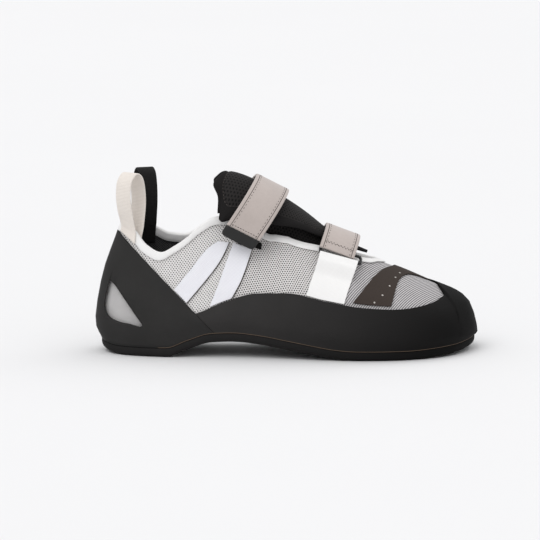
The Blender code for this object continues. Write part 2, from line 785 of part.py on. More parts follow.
def tongue_point(s, across, depth):
    """Point of the tongue: s along TONGUE_LINE, across -1 to 1, depth 0 on top and 1 underneath."""
    x, z, half, drop, wall = table_at(TONGUE_LINE, s)
    last = len(TONGUE_LINE) - 1
    near_rear = min(1.0, max(0.0, 1 - (last - s) / TONGUE_REAR_REACH))
    shift = (curve(TONGUE_REAR, abs(across)) - TONGUE_LINE[-1][0]) * near_rear**2
    _, up = line_frame(TONGUE_LINE, s)
    bend = math.radians(62)
    half, drop = drawn_y(half), drawn_z(drop)
    y = half * math.sin(bend * across) / math.sin(bend)
    fall = drop * (1 - math.cos(bend * across)) / (1 - math.cos(bend))
    edge = 1 - 0.55 * abs(across) ** 4
    top = np.array((drawn_x(x + shift), y + ridge_offset(round(x, 3)), drawn_z(z))) - up * fall
    tilt = math.atan2(drop * 1.6 * abs(across), half) * (1 if across > 0 else -1)
    inward_way = -up * math.cos(tilt) - np.array((0, math.sin(tilt), 0))
    return top + inward_way * wall * edge * depth


def tongue():
    steps, breadth = 14, 10
    spans = [(len(TONGUE_LINE) - 1) * n / steps for n in range(steps + 1)]
    rims = [-1 + 2 * n / breadth for n in range(breadth + 1)]
    outer = [[tongue_point(s, a, 0) for a in rims] for s in spans]
    inner = [[tongue_point(s, a, 1) for a in rims] for s in spans]
    return sheet_solid("tongue", outer, inner, "mesh_black")


def tongue_gusset():
    steps, breadth = 8, 10
    outer, inner = [], []
    for n in range(steps + 1):
        x, z, half, foot = table_at(GUSSET_LINE, 6 * n / steps)
        z, half, foot = drawn_z(z), drawn_y(half), drawn_z(foot)
        for rows, wall in ((outer, 0.0), (inner, GUSSET_WALL)):
            row = []
            for m in range(breadth + 1):
                angle = math.pi * (m / breadth - 0.5)
                y = (half - wall) * math.sin(angle) + ridge_offset(round(x, 3))
                height = foot + (z - wall - foot) * max(0.0, math.cos(angle)) ** 0.8
                row.append(np.array((drawn_x(x), y, height)))
            rows.append(row)
    return sheet_solid("tongue_gusset", outer, inner, "mesh_black")


def strap_frame(centre, lean, skew):
    """Origin of a strap's plane, its upward direction and the direction of its width."""
    angle, turn = math.radians(lean), math.radians(skew)
    origin = np.array((drawn_x(centre[0]), 0.0, drawn_z(centre[1])))
    up = np.array((math.sin(angle), 0.0, math.cos(angle)))
    return origin, up, np.array((math.cos(turn), 0.0, -math.sin(turn)))


def path_points(path, s_from, s_to, steps):
    """Places along a path in the strap's plane, with the outward direction at each."""
    made = []
    for n in range(steps + 1):
        s = s_from + (s_to - s_from) * n / steps
        at = table_at(path, s)
        ahead = table_at(path, min(s + 0.05, len(path) - 1))
        behind = table_at(path, max(s - 0.05, 0))
        run = ahead - behind
        out = np.array((-run[1], run[0])) / np.linalg.norm(run)
        made.append((at, out))
    return made


def ribbon(name, frame, places, width, wall, finish, ring=False):
    """Flat band following places in a plane, as wide as width across it."""
    origin, up, side = frame
    rows = []
    for half, depth in ((-0.5, 0.5), (0.5, 0.5), (0.5, -0.5), (-0.5, -0.5)):
        row = []
        for (y, h), (out_y, out_h) in places:
            centre = origin + up * drawn_z(h) + np.array((0, drawn_y(y), 0))
            out = up * out_h + np.array((0, out_y, 0))
            row.append(centre + side * half * width + out * depth * wall)
        rows.append(row)
    return grid_solid(name, rows, finish, ring)


# Pieces draped on the upper

def seen_share(q, up, tall):
    """The t at which the wall at q is seen at a drawn height, on a shoe tall times the drawn one."""
    def rise(t):
        point = last_point(q, t)
        across = point[1] * DRAWN_BREADTH / BALL_WIDTH
        return across * math.sin(SIGHT_ANGLE) + point[2] / tall * math.cos(SIGHT_ANGLE) - up
    return solve(rise, 0.0, 1.0)


def seen_place(x, up, tall):
    """Loop position and t of the lateral wall's point seen at a drawn distance along and height."""
    q = solve(lambda q: last_point(q, seen_share(q, up, tall))[0] - drawn_x(x), 0.5, STATIONS - 0.5)
    return q, seen_share(q, up, tall)


def foot_shift(place):
    """How far t moves to bring a sheet's lowest point just above the rubber."""
    q, t = place
    return below_edge(q, cover_share(q), -FOOT_CLEAR) - t


def draped(name, edges, steps, breadth, wall, finish, tall, rise=None, footed=True):
    """Sheet between two edges seen from the lateral side; rise(s) adds lift, with s 0 at its top."""
    left, right = (np.array(edge, float) for edge in edges)
    across = [m / breadth for m in range(breadth + 1)]
    feet = [seen_place(*(left[-1] + (right[-1] - left[-1]) * m), tall) for m in across]
    shifts = [foot_shift(foot) if footed else 0.0 for foot in feet]
    outer, inner = [], []
    for n in range(steps + 1):
        s = n / steps * (len(left) - 1)
        a, b = through(left, s), through(right, s)
        lift = DRAPE_GAP + (rise(n / steps) if rise else 0.0)
        seen = [seen_place(*(a + (b - a) * m), tall) for m in across]
        places = [(q, t + shift * n / steps) for (q, t), shift in zip(seen, shifts)]
        outer.append([lifted(q, t, lift + wall) for q, t in places])
        inner.append([lifted(q, t, lift) for q, t in places])
    return sheet_solid(name, outer, inner, finish)


def toe_overlay():
    """Thin film across the front of the vamp, from the lateral rand edge to the medial one."""
    steps, breadth = 20, 4
    outer, inner = [], []
    for n in range(steps + 1):
        across = -1 + 2 * n / steps
        rows = [row[0] for row in OVERLAY_LINE]
        rear = curve(list(zip(rows, [row[1] for row in OVERLAY_LINE])), across)
        front = curve(list(zip(rows, [row[2] for row in OVERLAY_LINE])), across)
        outer_row, inner_row = [], []
        for m in range(breadth + 1):
            x = rear + (front - rear) * m / breadth
            side = 1 if across <= 0 else -1

            def spot(q):
                place = side_position(q, side)
                low = rand_share(place) + OVERLAY_CLEAR if rand_share(place) < 1 else 1.0
                t = low + (1 - low) * (1 - abs(across))
                return place % (2 * STATIONS), min(t, 1.0)

            q = solve(lambda q: place_share(*spot(q)) * DRAWN_LENGTH - x, 5.0, 10.8)
            place, t = spot(q)
            outer_row.append(lifted(place, t, DRAPE_GAP + OVERLAY_WALL))
            inner_row.append(lifted(place, t, DRAPE_GAP))
        outer.append(outer_row)
        inner.append(inner_row)
    return sheet_solid("toe_overlay", outer, inner, "toe_overlay")


def webbing_rise(s):
    """Lift of the anchor webbing where its top turns over the ring's lower bar."""
    fall = min(1.0, max(0.0, (s - 0.2) / 0.3))
    return WEBBING_TURN * (1 - fall * fall * (3 - 2 * fall))


def slot_ring():
    """Rectangular wire ring between the lower strap and its webbing, lying along the upper."""
    tall = INSTEP_HEIGHT / DRAWN_INSTEP
    left, middle, right = (seen_place(*spot, tall) for spot in RING_SPOTS)
    centre = lifted(*middle, RING_LIFT)
    along = lifted(*right, RING_LIFT) - lifted(*left, RING_LIFT)
    along /= np.linalg.norm(along)
    up = np.cross(along, -last_normal(*middle))
    up /= np.linalg.norm(up)
    out = np.cross(up, along)
    bend = RING_BAR
    arm = np.array((RING_LENGTH / 2 - RING_BAR / 2 - bend, RING_HEIGHT / 2 - RING_BAR / 2 - bend))
    rows = []
    for corner in range(4):
        for turn in range(3):
            angle = math.pi / 2 * (corner + turn / 2)
            middle_angle = math.pi / 2 * (corner + 0.5)
            hub = centre + along * math.copysign(arm[0], math.cos(middle_angle))
            hub = hub + up * math.copysign(arm[1], math.sin(middle_angle))
            way = along * math.cos(angle) + up * math.sin(angle)
            row = []
            for k in range(6):
                around = k * math.pi / 3
                away = bend + RING_BAR / 2 * math.cos(around)
                row.append(hub + way * away + out * RING_BAR / 2 * math.sin(around))
            rows.append(row)
    return grid_solid("slot_ring", rows, "plastic_black", True)


def pull_loop(name, side, finish):
    """Webbing loop over the collar at the heel, its outer foot outside and its inner foot inside."""
    q = side_position(LOOP_PLACES[side], side)
    edge = edge_share(q)
    base = last_point(q, edge)
    ahead = last_point((q + 0.2) % (2 * STATIONS), edge) - last_point((q - 0.2) % (2 * STATIONS), edge)
    ahead[2] = 0
    ahead /= np.linalg.norm(ahead)
    out = np.cross(ahead, (0.0, 0.0, 1.0))
    origin = np.array((base[0], base[1], 0.0))
    up = np.array((0.0, 0.0, 1.0))
    fall = base - last_point(q, edge - 0.1)
    slope = fall @ out / fall[2]
    rows = []
    count = 26
    for half, depth in ((-0.5, 0.5), (0.5, 0.5), (0.5, -0.5), (-0.5, -0.5)):
        row = []
        for (distance, drawn), (out_way, up_way) in path_points(LOOP_LINE, 0, len(LOOP_LINE) - 1, count):
            height = drawn * HEEL_HEIGHT / DRAWN_HEIGHT
            lean = min(0.0, height - base[2]) * slope
            slant = -half * side * LOOP_FOOT_SLANT * max(0.0, 1 - len(row) / 6)
            centre = origin + out * (distance + lean) + up * (height + slant)
            normal = -(out * out_way + up * up_way)
            row.append(centre + ahead * half * LOOP_WIDTH + normal * depth * LOOP_WALL)
        rows.append(row)
    return grid_solid(name, rows, finish)


def main():
    clear_scene()
    positions, edges, shares = outer_grid()
    upper(positions, edges, shares)
    outsole()
    insole()
    rand()
    heel_band()
    collar_binding(positions, edges)
    tongue()
    tongue_gusset()
    top_frame = strap_frame(TOP_STRAP_CENTRE, TOP_STRAP_LEAN, TOP_STRAP_SKEW)
    top_line = path_points(TOP_STRAP_PATH, 0.75, 11, 30)
    tab_line = path_points(TOP_STRAP_PATH, 0, 0.7, 2)
    ribbon("top_strap", top_frame, top_line, STRAP_WIDTH, STRAP_WALL, "suede_grey")
    ribbon("strap_tab", top_frame, tab_line, STRAP_WIDTH, TAB_WALL, "plastic_black")
    low_frame = strap_frame(LOWER_STRAP_CENTRE, LOWER_STRAP_LEAN, LOWER_STRAP_SKEW)
    low_line = path_points(LOWER_STRAP_PATH, 0, 8, 22)
    ribbon("lower_strap", low_frame, low_line, STRAP_WIDTH, STRAP_WALL, "suede_grey")
    quarter = HEEL_HEIGHT / DRAWN_HEIGHT
    vamp = INSTEP_HEIGHT / DRAWN_INSTEP
    draped("stripe_rear", STRIPE_REAR, 8, 3, WEBBING_WALL, "webbing_lavender", quarter)
    draped("stripe_front", STRIPE_FRONT, 8, 3, WEBBING_WALL, "webbing_lavender", quarter)
    draped("hook_patch", HOOK_PATCH, 3, 4, PATCH_WALL, "plastic_black", quarter, None, False)
    draped("anchor_webbing", WEBBING, 10, 4, WEBBING_WALL, "webbing_white", vamp, webbing_rise)
    toe_overlay()
    slot_ring()
    pull_loop("pull_loop_lateral", 1, "webbing_beige")
    pull_loop("pull_loop_medial", -1, "mesh_black")


main()
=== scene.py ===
import json
import math
from functools import lru_cache

import bmesh
import bpy
import numpy as np
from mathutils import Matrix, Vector

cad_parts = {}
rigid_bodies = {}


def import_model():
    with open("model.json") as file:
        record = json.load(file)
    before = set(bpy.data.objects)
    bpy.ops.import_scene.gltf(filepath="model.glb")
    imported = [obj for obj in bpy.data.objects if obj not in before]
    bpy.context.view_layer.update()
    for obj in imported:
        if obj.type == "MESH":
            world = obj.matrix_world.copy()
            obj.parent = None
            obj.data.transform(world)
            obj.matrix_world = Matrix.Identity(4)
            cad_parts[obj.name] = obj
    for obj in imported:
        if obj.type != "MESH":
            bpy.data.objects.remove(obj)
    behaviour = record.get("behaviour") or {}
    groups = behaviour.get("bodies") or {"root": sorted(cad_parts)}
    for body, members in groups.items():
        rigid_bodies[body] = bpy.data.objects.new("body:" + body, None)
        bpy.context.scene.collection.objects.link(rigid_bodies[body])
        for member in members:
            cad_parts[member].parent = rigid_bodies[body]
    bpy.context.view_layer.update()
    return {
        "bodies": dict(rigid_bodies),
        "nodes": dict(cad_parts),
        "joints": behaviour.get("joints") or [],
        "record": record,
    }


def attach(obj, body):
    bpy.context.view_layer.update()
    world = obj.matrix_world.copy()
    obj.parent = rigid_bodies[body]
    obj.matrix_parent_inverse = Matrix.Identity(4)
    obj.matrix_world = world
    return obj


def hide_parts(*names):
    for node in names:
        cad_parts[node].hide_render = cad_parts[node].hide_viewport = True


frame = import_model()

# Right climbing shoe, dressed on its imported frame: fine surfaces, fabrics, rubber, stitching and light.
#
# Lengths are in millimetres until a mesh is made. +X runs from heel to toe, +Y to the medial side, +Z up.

METRE = 0.001

# Last: the outer surface of the fabric upper
LAST_LENGTH = 257.0
BALL_WIDTH = 89.0
HEEL_HEIGHT = 88.0
INSTEP_HEIGHT = 100.0
SEAT_FROM_BACK = 36.0
FEATHER_INSET = 3.5
STATIONS = 12

# Walls, clearances and layers
GAP = 0.3
DRAPE_GAP = 0.5
RUBBER_GAP = 0.5
BINDING_GAP = 0.5
BINDING_INSIDE = 0.9
UPPER_WALL = 1.8
LASTING_MARGIN = 9.0
RAND_WALL = 2.5
RAND_SKIVE = 1.0
SOLE_THICKNESS = 6.5
SOLE_EDGE_RADIUS = 3.2
INSOLE_THICKNESS = 2.0
INSOLE_INSET = 3.2
BINDING_WIDTH = 5.0
BINDING_WALL = 0.8
WEBBING_WALL = 0.9
OVERLAY_WALL = 0.6
PATCH_WALL = 1.0

# Straps, tongue, ring and pull loops
STRAP_WIDTH = 25.0
STRAP_WALL = 2.2
TAB_WALL = 3.0
GUSSET_WALL = 1.2
RING_BAR = 2.0
WEBBING_TURN = 5.0
LOOP_WIDTH = 12.0
LOOP_WALL = 1.3

LOOP = 2 * STATIONS
SPINE_SPAN = (0.09, 0.91)

# Sections of the last at cosine stations from heel back to toe tip. Breadths are shares of BALL_WIDTH,
# negative on the lateral side. Heights are shares of INSTEP_HEIGHT.
#    widest ring             shoulder ring           top ring (cone or ridge)
#    lateral medial height   lateral medial height   lateral medial height
SECTIONS = (
    (0.000, 0.000, 0.230,    0.000, 0.000, 0.580,    0.000, 0.000, 0.925),
    (-0.140, 0.140, 0.230,   -0.122, 0.122, 0.580,   -0.100, 0.100, 0.925),
    (-0.253, 0.247, 0.230,   -0.213, 0.213, 0.580,   -0.174, 0.174, 0.925),
    (-0.326, 0.309, 0.250,   -0.275, 0.275, 0.570,   -0.215, 0.215, 0.930),
    (-0.360, 0.331, 0.290,   -0.303, 0.303, 0.570,   -0.215, 0.215, 0.965),
    (-0.393, 0.331, 0.300,   -0.326, 0.315, 0.590,   -0.110, 0.120, 1.005),
    (-0.461, 0.360, 0.270,   -0.360, 0.326, 0.570,   0.022, 0.022, 0.900),
    (-0.517, 0.416, 0.220,   -0.385, 0.348, 0.500,   0.034, 0.034, 0.775),
    (-0.528, 0.466, 0.190,   -0.385, 0.371, 0.425,   0.067, 0.067, 0.640),
    (-0.455, 0.472, 0.175,   -0.325, 0.371, 0.375,   0.096, 0.096, 0.545),
    (-0.300, 0.421, 0.170,   -0.190, 0.326, 0.335,   0.120, 0.120, 0.465),
    (-0.080, 0.303, 0.145,   -0.020, 0.235, 0.312,   0.132, 0.132, 0.420),
    (0.146, 0.146, 0.130,    0.135, 0.135, 0.305,    0.135, 0.135, 0.405),
)
RING_LATERAL, RING_MEDIAL, RING_HEIGHT = 0, 1, 2

# Where each ring starts and ends along the last, as shares of LAST_LENGTH
RING_SPANS = ((0.017, 0.992), (0.000, 1.000), (0.024, 0.980), (0.066, 0.938))

# Underside of the sole along the last: share of LAST_LENGTH, height as a share of SOLE_THICKNESS
SOLE_PROFILE = (
    (0.00, 0.62), (0.03, 0.18), (0.06, 0.0), (0.18, 0.0), (0.23, 0.75), (0.30, 1.62), (0.36, 1.72),
    (0.43, 1.48), (0.51, 0.95), (0.58, 0.45), (0.63, 0.14), (0.68, 0.0), (0.82, 0.0), (0.88, 0.10),
    (0.94, 0.24), (1.00, 0.56),
)

# Collar and throat edge: share of LAST_LENGTH, height as a share of HEEL_HEIGHT
COLLAR_LATERAL = (
    (0.03, 1.015), (0.065, 1.0), (0.09, 0.968), (0.125, 0.855), (0.165, 0.80), (0.20, 0.85), (0.235, 0.92),
    (0.27, 1.01), (0.315, 1.075), (0.36, 1.07), (0.45, 0.975),
    (0.55, 0.89), (0.63, 0.80), (0.70, 0.735), (0.745, 0.71),
)
COLLAR_MEDIAL = (
    (0.03, 1.015), (0.10, 1.005), (0.145, 0.945), (0.185, 0.888), (0.226, 0.875), (0.254, 0.905),
    (0.28, 0.955), (0.32, 0.99), (0.36, 0.99), (0.45, 0.95),
    (0.55, 0.89), (0.63, 0.80), (0.70, 0.735), (0.745, 0.71),
)
# Half the throat's width from its start to its end: share of LAST_LENGTH, share of BALL_WIDTH
THROAT_HALF = (
    (0.40, 0.17), (0.45, 0.168), (0.50, 0.178), (0.54, 0.174),
    (0.62, 0.158), (0.68, 0.128), (0.72, 0.078), (0.742, 0.0),
)
THROAT_START = 0.36
THROAT_BLEND = 0.08
THROAT_END = 0.742

# Top edge of the rand from the heel seam to the toe: share of LAST_LENGTH, height as a share of HEEL_HEIGHT
RAND_TOP_LATERAL = (
    (0.20, 0.29), (0.27, 0.36), (0.34, 0.445), (0.42, 0.51), (0.50, 0.515), (0.60, 0.455), (0.70, 0.405),
    (0.80, 0.385), (0.87, 0.40), (0.925, 0.445), (0.955, 0.60),
)
RAND_TOP_MEDIAL = (
    (0.20, 0.29), (0.27, 0.36), (0.34, 0.445), (0.42, 0.51), (0.50, 0.53), (0.60, 0.51), (0.70, 0.50),
    (0.79, 0.53), (0.85, 0.53), (0.92, 0.50), (0.955, 0.60),
)
TOE_CAP_START = 0.955

# Heel band: the line of its upper edge, from the heel top to the sole
BAND_TOP = (0.048, 0.966)
BAND_FOOT = (0.306, 0.205)
WINDOW = (
    (0.029, 0.58), (0.045, 0.54), (0.115, 0.259), (0.078, 0.257), (0.049, 0.270), (0.027, 0.30),
    (0.0176, 0.352), (0.0148, 0.42),
)

# Angle above level at which the places marked "seen" are given, looking at the lateral side
SIGHT_ANGLE = math.radians(9)

# Tongue along its middle line: distance along the last, top height, half width, side drop, thickness
TONGUE_LINE = (
    (184, 68.6, 2.2, 0.3, 2.0),
    (176, 72.0, 5.5, 0.8, 2.3),
    (167, 76.6, 9.0, 1.5, 2.6),
    (155, 84.3, 14.5, 4.0, 3.4),
    (141, 95.5, 21.0, 9.0, 5.0),
    (128, 104.5, 25.0, 16.0, 6.0),
    (115, 112.5, 26.5, 21.0, 6.0),
    (104, 119.0, 27.0, 27.0, 6.0),
    (94, 123.0, 27.0, 31.0, 6.0),
    (86, 124.3, 24.5, 29.5, 5.4),
    (82, 123.5, 20.0, 26.0, 3.8),
)
# Rear edge of the tongue from its middle to its side: place across, distance along the last
TONGUE_REAR = ((0.0, 86.0), (0.25, 80.5), (0.5, 76.5), (0.72, 78.0), (1.0, 75.5))
TONGUE_REAR_REACH = 3.0

# Gusset under the tongue: distance along the last, top height, half width at its foot, foot height
GUSSET_LINE = (
    (172, 68.0, 6.0, 60.0), (160, 75.5, 9.5, 65.0), (147, 83.5, 10.4, 69.0), (134, 91.0, 11.0, 73.0),
    (119, 98.0, 11.2, 77.0), (104, 104.0, 10.5, 81.0), (92, 107.0, 9.5, 83.0),
)

# Straps: across the foot from the lateral end to the medial end, and up in the strap's own plane
TOP_STRAP_CENTRE = (118.6, 115.8)
TOP_STRAP_LEAN = 34.0
TOP_STRAP_SKEW = 27.0
TOP_STRAP_PATH = (
    (-32.0, -43.5), (-31.5, -33.0), (-29.5, -21.5), (-22.5, -10.5), (-12.5, -3.0), (0.0, 0.0),
    (12.5, -3.0), (22.5, -10.5), (29.0, -21.5), (29.0, -31.8), (27.6, -41.8), (29.5, -53.5),
)
LOWER_STRAP_CENTRE = (167.0, 83.0)
LOWER_STRAP_LEAN = 20.6
LOWER_STRAP_SKEW = 20.6
LOWER_STRAP_PATH = (
    (-20.3, -13.2), (-16.6, -8.2), (-9.5, -2.2), (0.0, 0.0), (11.0, -2.0), (20.0, -7.5), (27.0, -17.0),
    (31.8, -27.0), (34.5, -33.2),
)

# Flat pieces on the lateral side: left and right edges from top to bottom, as seen distances along the last
# and heights
STRIPE_REAR = (((81.5, 74.5), (73.5, 70.5), (65.0, 61.0), (52.5, 46.5)),
               ((89.0, 73.5), (83.5, 64.0), (74.0, 52.5), (61.0, 38.0)))
STRIPE_FRONT = (((92.0, 73.5), (87.0, 60.5), (82.0, 46.5), (76.0, 31.5)),
                ((104.5, 68.5), (101.0, 58.0), (97.0, 48.0), (91.0, 37.5)))
WEBBING = (((150.0, 64.3), (148.0, 57.0), (144.5, 47.0), (141.5, 38.0)),
           ((175.0, 56.8), (173.0, 50.5), (170.0, 42.5), (167.0, 33.5)))
HOOK_PATCH = (((95.0, 76.0), (95.0, 72.5)), ((111.0, 73.0), (111.0, 68.5)))

# Toe overlay from the lateral rand edge (-1) over the ridge (0) to the medial rand edge (1): distances
# along the last of its rear and front edges
OVERLAY_CLEAR = 0.03
FOOT_CLEAR = 0.8
OVERLAY_LINE = (
    (-1.0, 173.0, 199.0), (-0.5, 187.0, 204.0), (-0.15, 199.0, 214.0), (0.0, 203.0, 224.0),
    (0.5, 201.0, 226.0), (1.0, 193.0, 218.0),
)

# Left end, middle and right end of the ring, seen
RING_SPOTS = ((150.5, 67.3), (164.0, 63.3), (177.0, 58.3))
RING_LENGTH = 31.0
RING_HEIGHT = 9.0
RING_LIFT = 3.2

# Pull loop, from its outer foot over the top to its inner foot: out from the collar's face, height
LOOP_LINE = (
    (2.4, 80.8), (2.5, 85.0), (3.9, 91.0), (7.0, 100.0), (8.5, 110.0), (7.0, 119.0), (1.0, 124.0),
    (-5.5, 121.0), (-8.5, 112.0), (-9.0, 102.0), (-7.5, 92.0), (-5.8, 82.0), (-5.6, 72.0),
)
LOOP_PLACES = {1: 1.35, -1: 2.05}
LOOP_FOOT_SLANT = 8.0


# Interpolation

def curve(table, at):
    """Monotone cubic through a short table of (place, value) rows."""
    places = [row[0] for row in table]
    values = [row[1] for row in table]
    if at <= places[0]:
        return values[0]
    if at >= places[-1]:
        return values[-1]
    steps = [b - a for a, b in zip(places, places[1:])]
    slopes = [(b - a) / step for a, b, step in zip(values, values[1:], steps)]
    tangents = [slopes[0]]
    for before, after in zip(slopes, slopes[1:]):
        same_way = before * after > 0
        tangents.append(2 * before * after / (before + after) if same_way else 0.0)
    tangents.append(slopes[-1])
    k = max(i for i in range(len(steps)) if places[i] <= at)
    s = (at - places[k]) / steps[k]
    start, end = values[k], values[k + 1]
    rise_in, rise_out = tangents[k] * steps[k], tangents[k + 1] * steps[k]
    return (
        start * (2 * s**3 - 3 * s**2 + 1)
        + rise_in * (s**3 - 2 * s**2 + s)
        + end * (3 * s**2 - 2 * s**3)
        + rise_out * (s**3 - s**2)
    )


def through(points, s):
    """Catmull-Rom curve through points, s from 0 to len(points) - 1."""
    k = min(max(int(math.floor(s)), 0), len(points) - 2)
    f = s - k
    before = points[k - 1] if k else 2 * points[0] - points[1]
    after = points[k + 2] if k + 2 < len(points) else 2 * points[-1] - points[-2]
    a, b = points[k], points[k + 1]
    return 0.5 * (
        2 * a + (b - before) * f + (2 * before - 5 * a + 4 * b - after) * f**2
        + (3 * a - before - 3 * b + after) * f**3
    )


# The last's surface

def station_share(q):
    """Share of the length at q: 0 heel back, STATIONS toe tip, LOOP heel back again."""
    return (1 - math.cos(math.pi * q / STATIONS)) / 2


def opposite(q):
    """The loop position across the foot from q."""
    return (LOOP - q) % LOOP


def section_value(ring, column, q):
    """One column of SECTIONS round the whole loop, smooth through the heel back and the toe tip."""
    def row_value(n):
        n %= LOOP
        medial = n > STATIONS
        row = SECTIONS[LOOP - n if medial else n]
        if column == RING_HEIGHT:
            return row[3 * ring - 1]
        return row[3 * ring - 3 + (RING_MEDIAL if medial else RING_LATERAL)]

    k = math.floor(q)
    values = [row_value(k + i) for i in (-1, 0, 1, 2)]
    return through(values, 1 + q - k)


def sole_underside(x_share):
    return curve(SOLE_PROFILE, x_share) * SOLE_THICKNESS


def ring_point(ring, q):
    """Point of one of the last's four rings: 0 feather line, 1 widest, 2 shoulder, 3 cone top or ridge."""
    first, last = RING_SPANS[ring]
    share = first + (last - first) * station_share(q)
    x = share * LAST_LENGTH - SEAT_FROM_BACK
    if ring == 0:
        widest = section_value(1, RING_LATERAL, q) * BALL_WIDTH
        middle = spine_offset(q)
        y = middle + (widest - middle) * (1 - 2 * FEATHER_INSET / BALL_WIDTH)
        z = sole_underside(share) + SOLE_THICKNESS
    else:
        y = section_value(ring, RING_LATERAL, q) * BALL_WIDTH
        z = section_value(ring, RING_HEIGHT, q) * INSTEP_HEIGHT
    return np.array((x, y, z))


def spine_offset(q):
    """Middle of the widest ring between its lateral and medial sides, at this station."""
    mirror = opposite(q)
    a = section_value(1, RING_LATERAL, q)
    b = section_value(1, RING_LATERAL, mirror)
    return (a + b) / 2 * BALL_WIDTH


def top_closing(q):
    """1 where the last is closed over the vamp, 0 where its cone is open."""
    mirror = opposite(q)
    gap = abs(ring_point(3, q)[1] - ring_point(3, mirror)[1])
    return 1 - min(1.0, gap / (0.08 * BALL_WIDTH))


@lru_cache(maxsize=None)
def wall_line(q):
    """Points the last's wall passes through at q, from the feather line to the ridge and one beyond it."""
    rings = [ring_point(ring, q) for ring in range(4)]
    mirror = opposite(q)
    closed = top_closing(q)
    beyond = closed * ring_point(2, mirror) + (1 - closed) * (2 * rings[3] - rings[2])
    return np.array(rings + [beyond])


def last_point(q, t):
    """Point of the last's surface: t 0 at the feather line, 1 at the ridge."""
    return through(wall_line(q), 3 * t)


def last_normal(q, t):
    """Outward normal of the last's surface."""
    step = 0.02
    low, high = max(0.0, t - step), min(1.0, t + step)
    up = last_point(q, high) - last_point(q, low)
    along = last_point(q + step, t) - last_point(q - step, t)
    if t > 1 - step and top_closing(q) > 0.5:
        mirror = opposite(q)
        across = last_point(mirror, 1 - 2 * step) - last_point(q, 1 - 2 * step)
        normal = np.cross(along, across)
        if np.linalg.norm(normal) < 1e-9:
            return np.array((0.0, 0.0, 1.0))
        normal /= np.linalg.norm(normal)
        return normal if normal[2] > 0 else -normal
    normal = np.cross(along, up)
    if t < 1 / 3:
        normal[2] = max(0.0, normal[2])
    return normal / np.linalg.norm(normal)


def lifted(q, t, lift):
    return last_point(q, t) + last_normal(q, t) * lift


@lru_cache(maxsize=None)
def place_share(q, t):
    return (last_point(q, t)[0] + SEAT_FROM_BACK) / LAST_LENGTH


def is_lateral(q):
    return q % LOOP <= STATIONS


def world_x(share):
    return share * LAST_LENGTH - SEAT_FROM_BACK


def drawn_x(distance):
    """World place of a distance along the last."""
    return distance - SEAT_FROM_BACK


def solve(function, low, high):
    """Where a rising function crosses zero between low and high."""
    for _ in range(30):
        middle = (low + high) / 2
        if function(middle) < 0:
            low = middle
        else:
            high = middle
    return (low + high) / 2


@lru_cache(maxsize=None)
def edge_share(q):
    """The t of the collar or throat edge at q, and 1 where the vamp is closed."""
    table = COLLAR_LATERAL if is_lateral(q) else COLLAR_MEDIAL
    if place_share(q, 1.0) > THROAT_END:
        return 1.0
    t = solve(lambda t: last_point(q, t)[2] - HEEL_HEIGHT * curve(table, place_share(q, t)), 0.3, 1.0)
    place = place_share(q, t)
    if place < THROAT_START:
        return t
    ridge = (last_point(q, 1.0) + last_point(opposite(q), 1.0)) / 2

    def spare(t):
        return BALL_WIDTH * curve(THROAT_HALF, place_share(q, t)) - abs(last_point(q, t)[1] - ridge[1])

    t_throat = solve(spare, 0.3, 1.0)
    blend = min(1.0, (place - THROAT_START) / THROAT_BLEND)
    return t + (t_throat - t) * blend * blend * (3 - 2 * blend)


def below_edge(q, edge, distance):
    """The t a distance below the collar edge, measured along the wall."""
    slope = np.linalg.norm(last_point(q, edge) - last_point(q, edge - 0.02)) / 0.02
    return edge - distance / slope


@lru_cache(maxsize=None)
def rand_share(q):
    """The t of the rand's top edge at q, and 1 over the toe."""
    table = RAND_TOP_LATERAL if is_lateral(q) else RAND_TOP_MEDIAL
    if station_share(q) > TOE_CAP_START:
        return 1.0
    return solve(lambda t: last_point(q, t)[2] - HEEL_HEIGHT * curve(table, place_share(q, t)), 0.02, 1.0)


def band_line(z):
    """Distance along the last of the heel band's upper edge at height z."""
    (x_top, z_top), (x_foot, z_foot) = BAND_TOP, BAND_FOOT
    fall = (z_top - z / HEEL_HEIGHT) / (z_top - z_foot)
    return world_x(x_top + fall * (x_foot - x_top))


def band_share(q):
    """The t at which the wall at q meets the heel band's upper edge."""
    return solve(lambda t: last_point(q, t)[0] - band_line(last_point(q, t)[2]), 0.0, 0.98)


def seam_corner(side):
    """Loop position where the rand's top edge meets the heel band, on the side given as 1 or -1."""
    def ahead(q):
        q_side = side_position(q, side)
        point = last_point(q_side, rand_share(q_side))
        return point[0] - band_line(point[2])
    return solve(ahead, 2.0, 6.0)


def seam_position(side, top_share, f, shift):
    """Loop distance from the heel back of the seam at height fraction f, moved along by shift."""
    def ahead(q):
        point = last_point(side_position(q, side), f * top_share)
        return point[0] - band_line(point[2]) - shift
    return solve(ahead, 1.0, 7.5)


def spine_share(q):
    first, last = SPINE_SPAN
    return first + (last - first) * station_share(q)


def inward(q, point, distance):
    """The point moved level towards the last's middle line."""
    share = spine_share(q)
    middle = np.array((world_x(share), spine_offset(q), point[2]))
    way = middle - point
    way[2] = 0
    return point + way / np.linalg.norm(way) * distance


@lru_cache(maxsize=None)
def cover_share(q):
    """The t up to which rubber covers the wall at q, by the heel band or by the rand."""
    edge = edge_share(q)
    behind = band_share(q)
    below_binding = below_edge(q, edge, BINDING_WIDTH + 2 * GAP)
    return min(below_binding, max(behind, rand_share(q))) if edge < 1 else rand_share(q)


def sole_outline(q, out):
    """Feather line moved out level by a distance."""
    return lifted(q, 0.0, out)


def seam_tops():
    """For each side, the loop position of the seam's top corner and the t there."""
    made = {}
    for side in (1, -1):
        corner = seam_corner(side)
        made[side] = (corner, rand_share(side_position(corner, side)))
    return made


def side_position(q, side):
    return q if side > 0 else LOOP - q


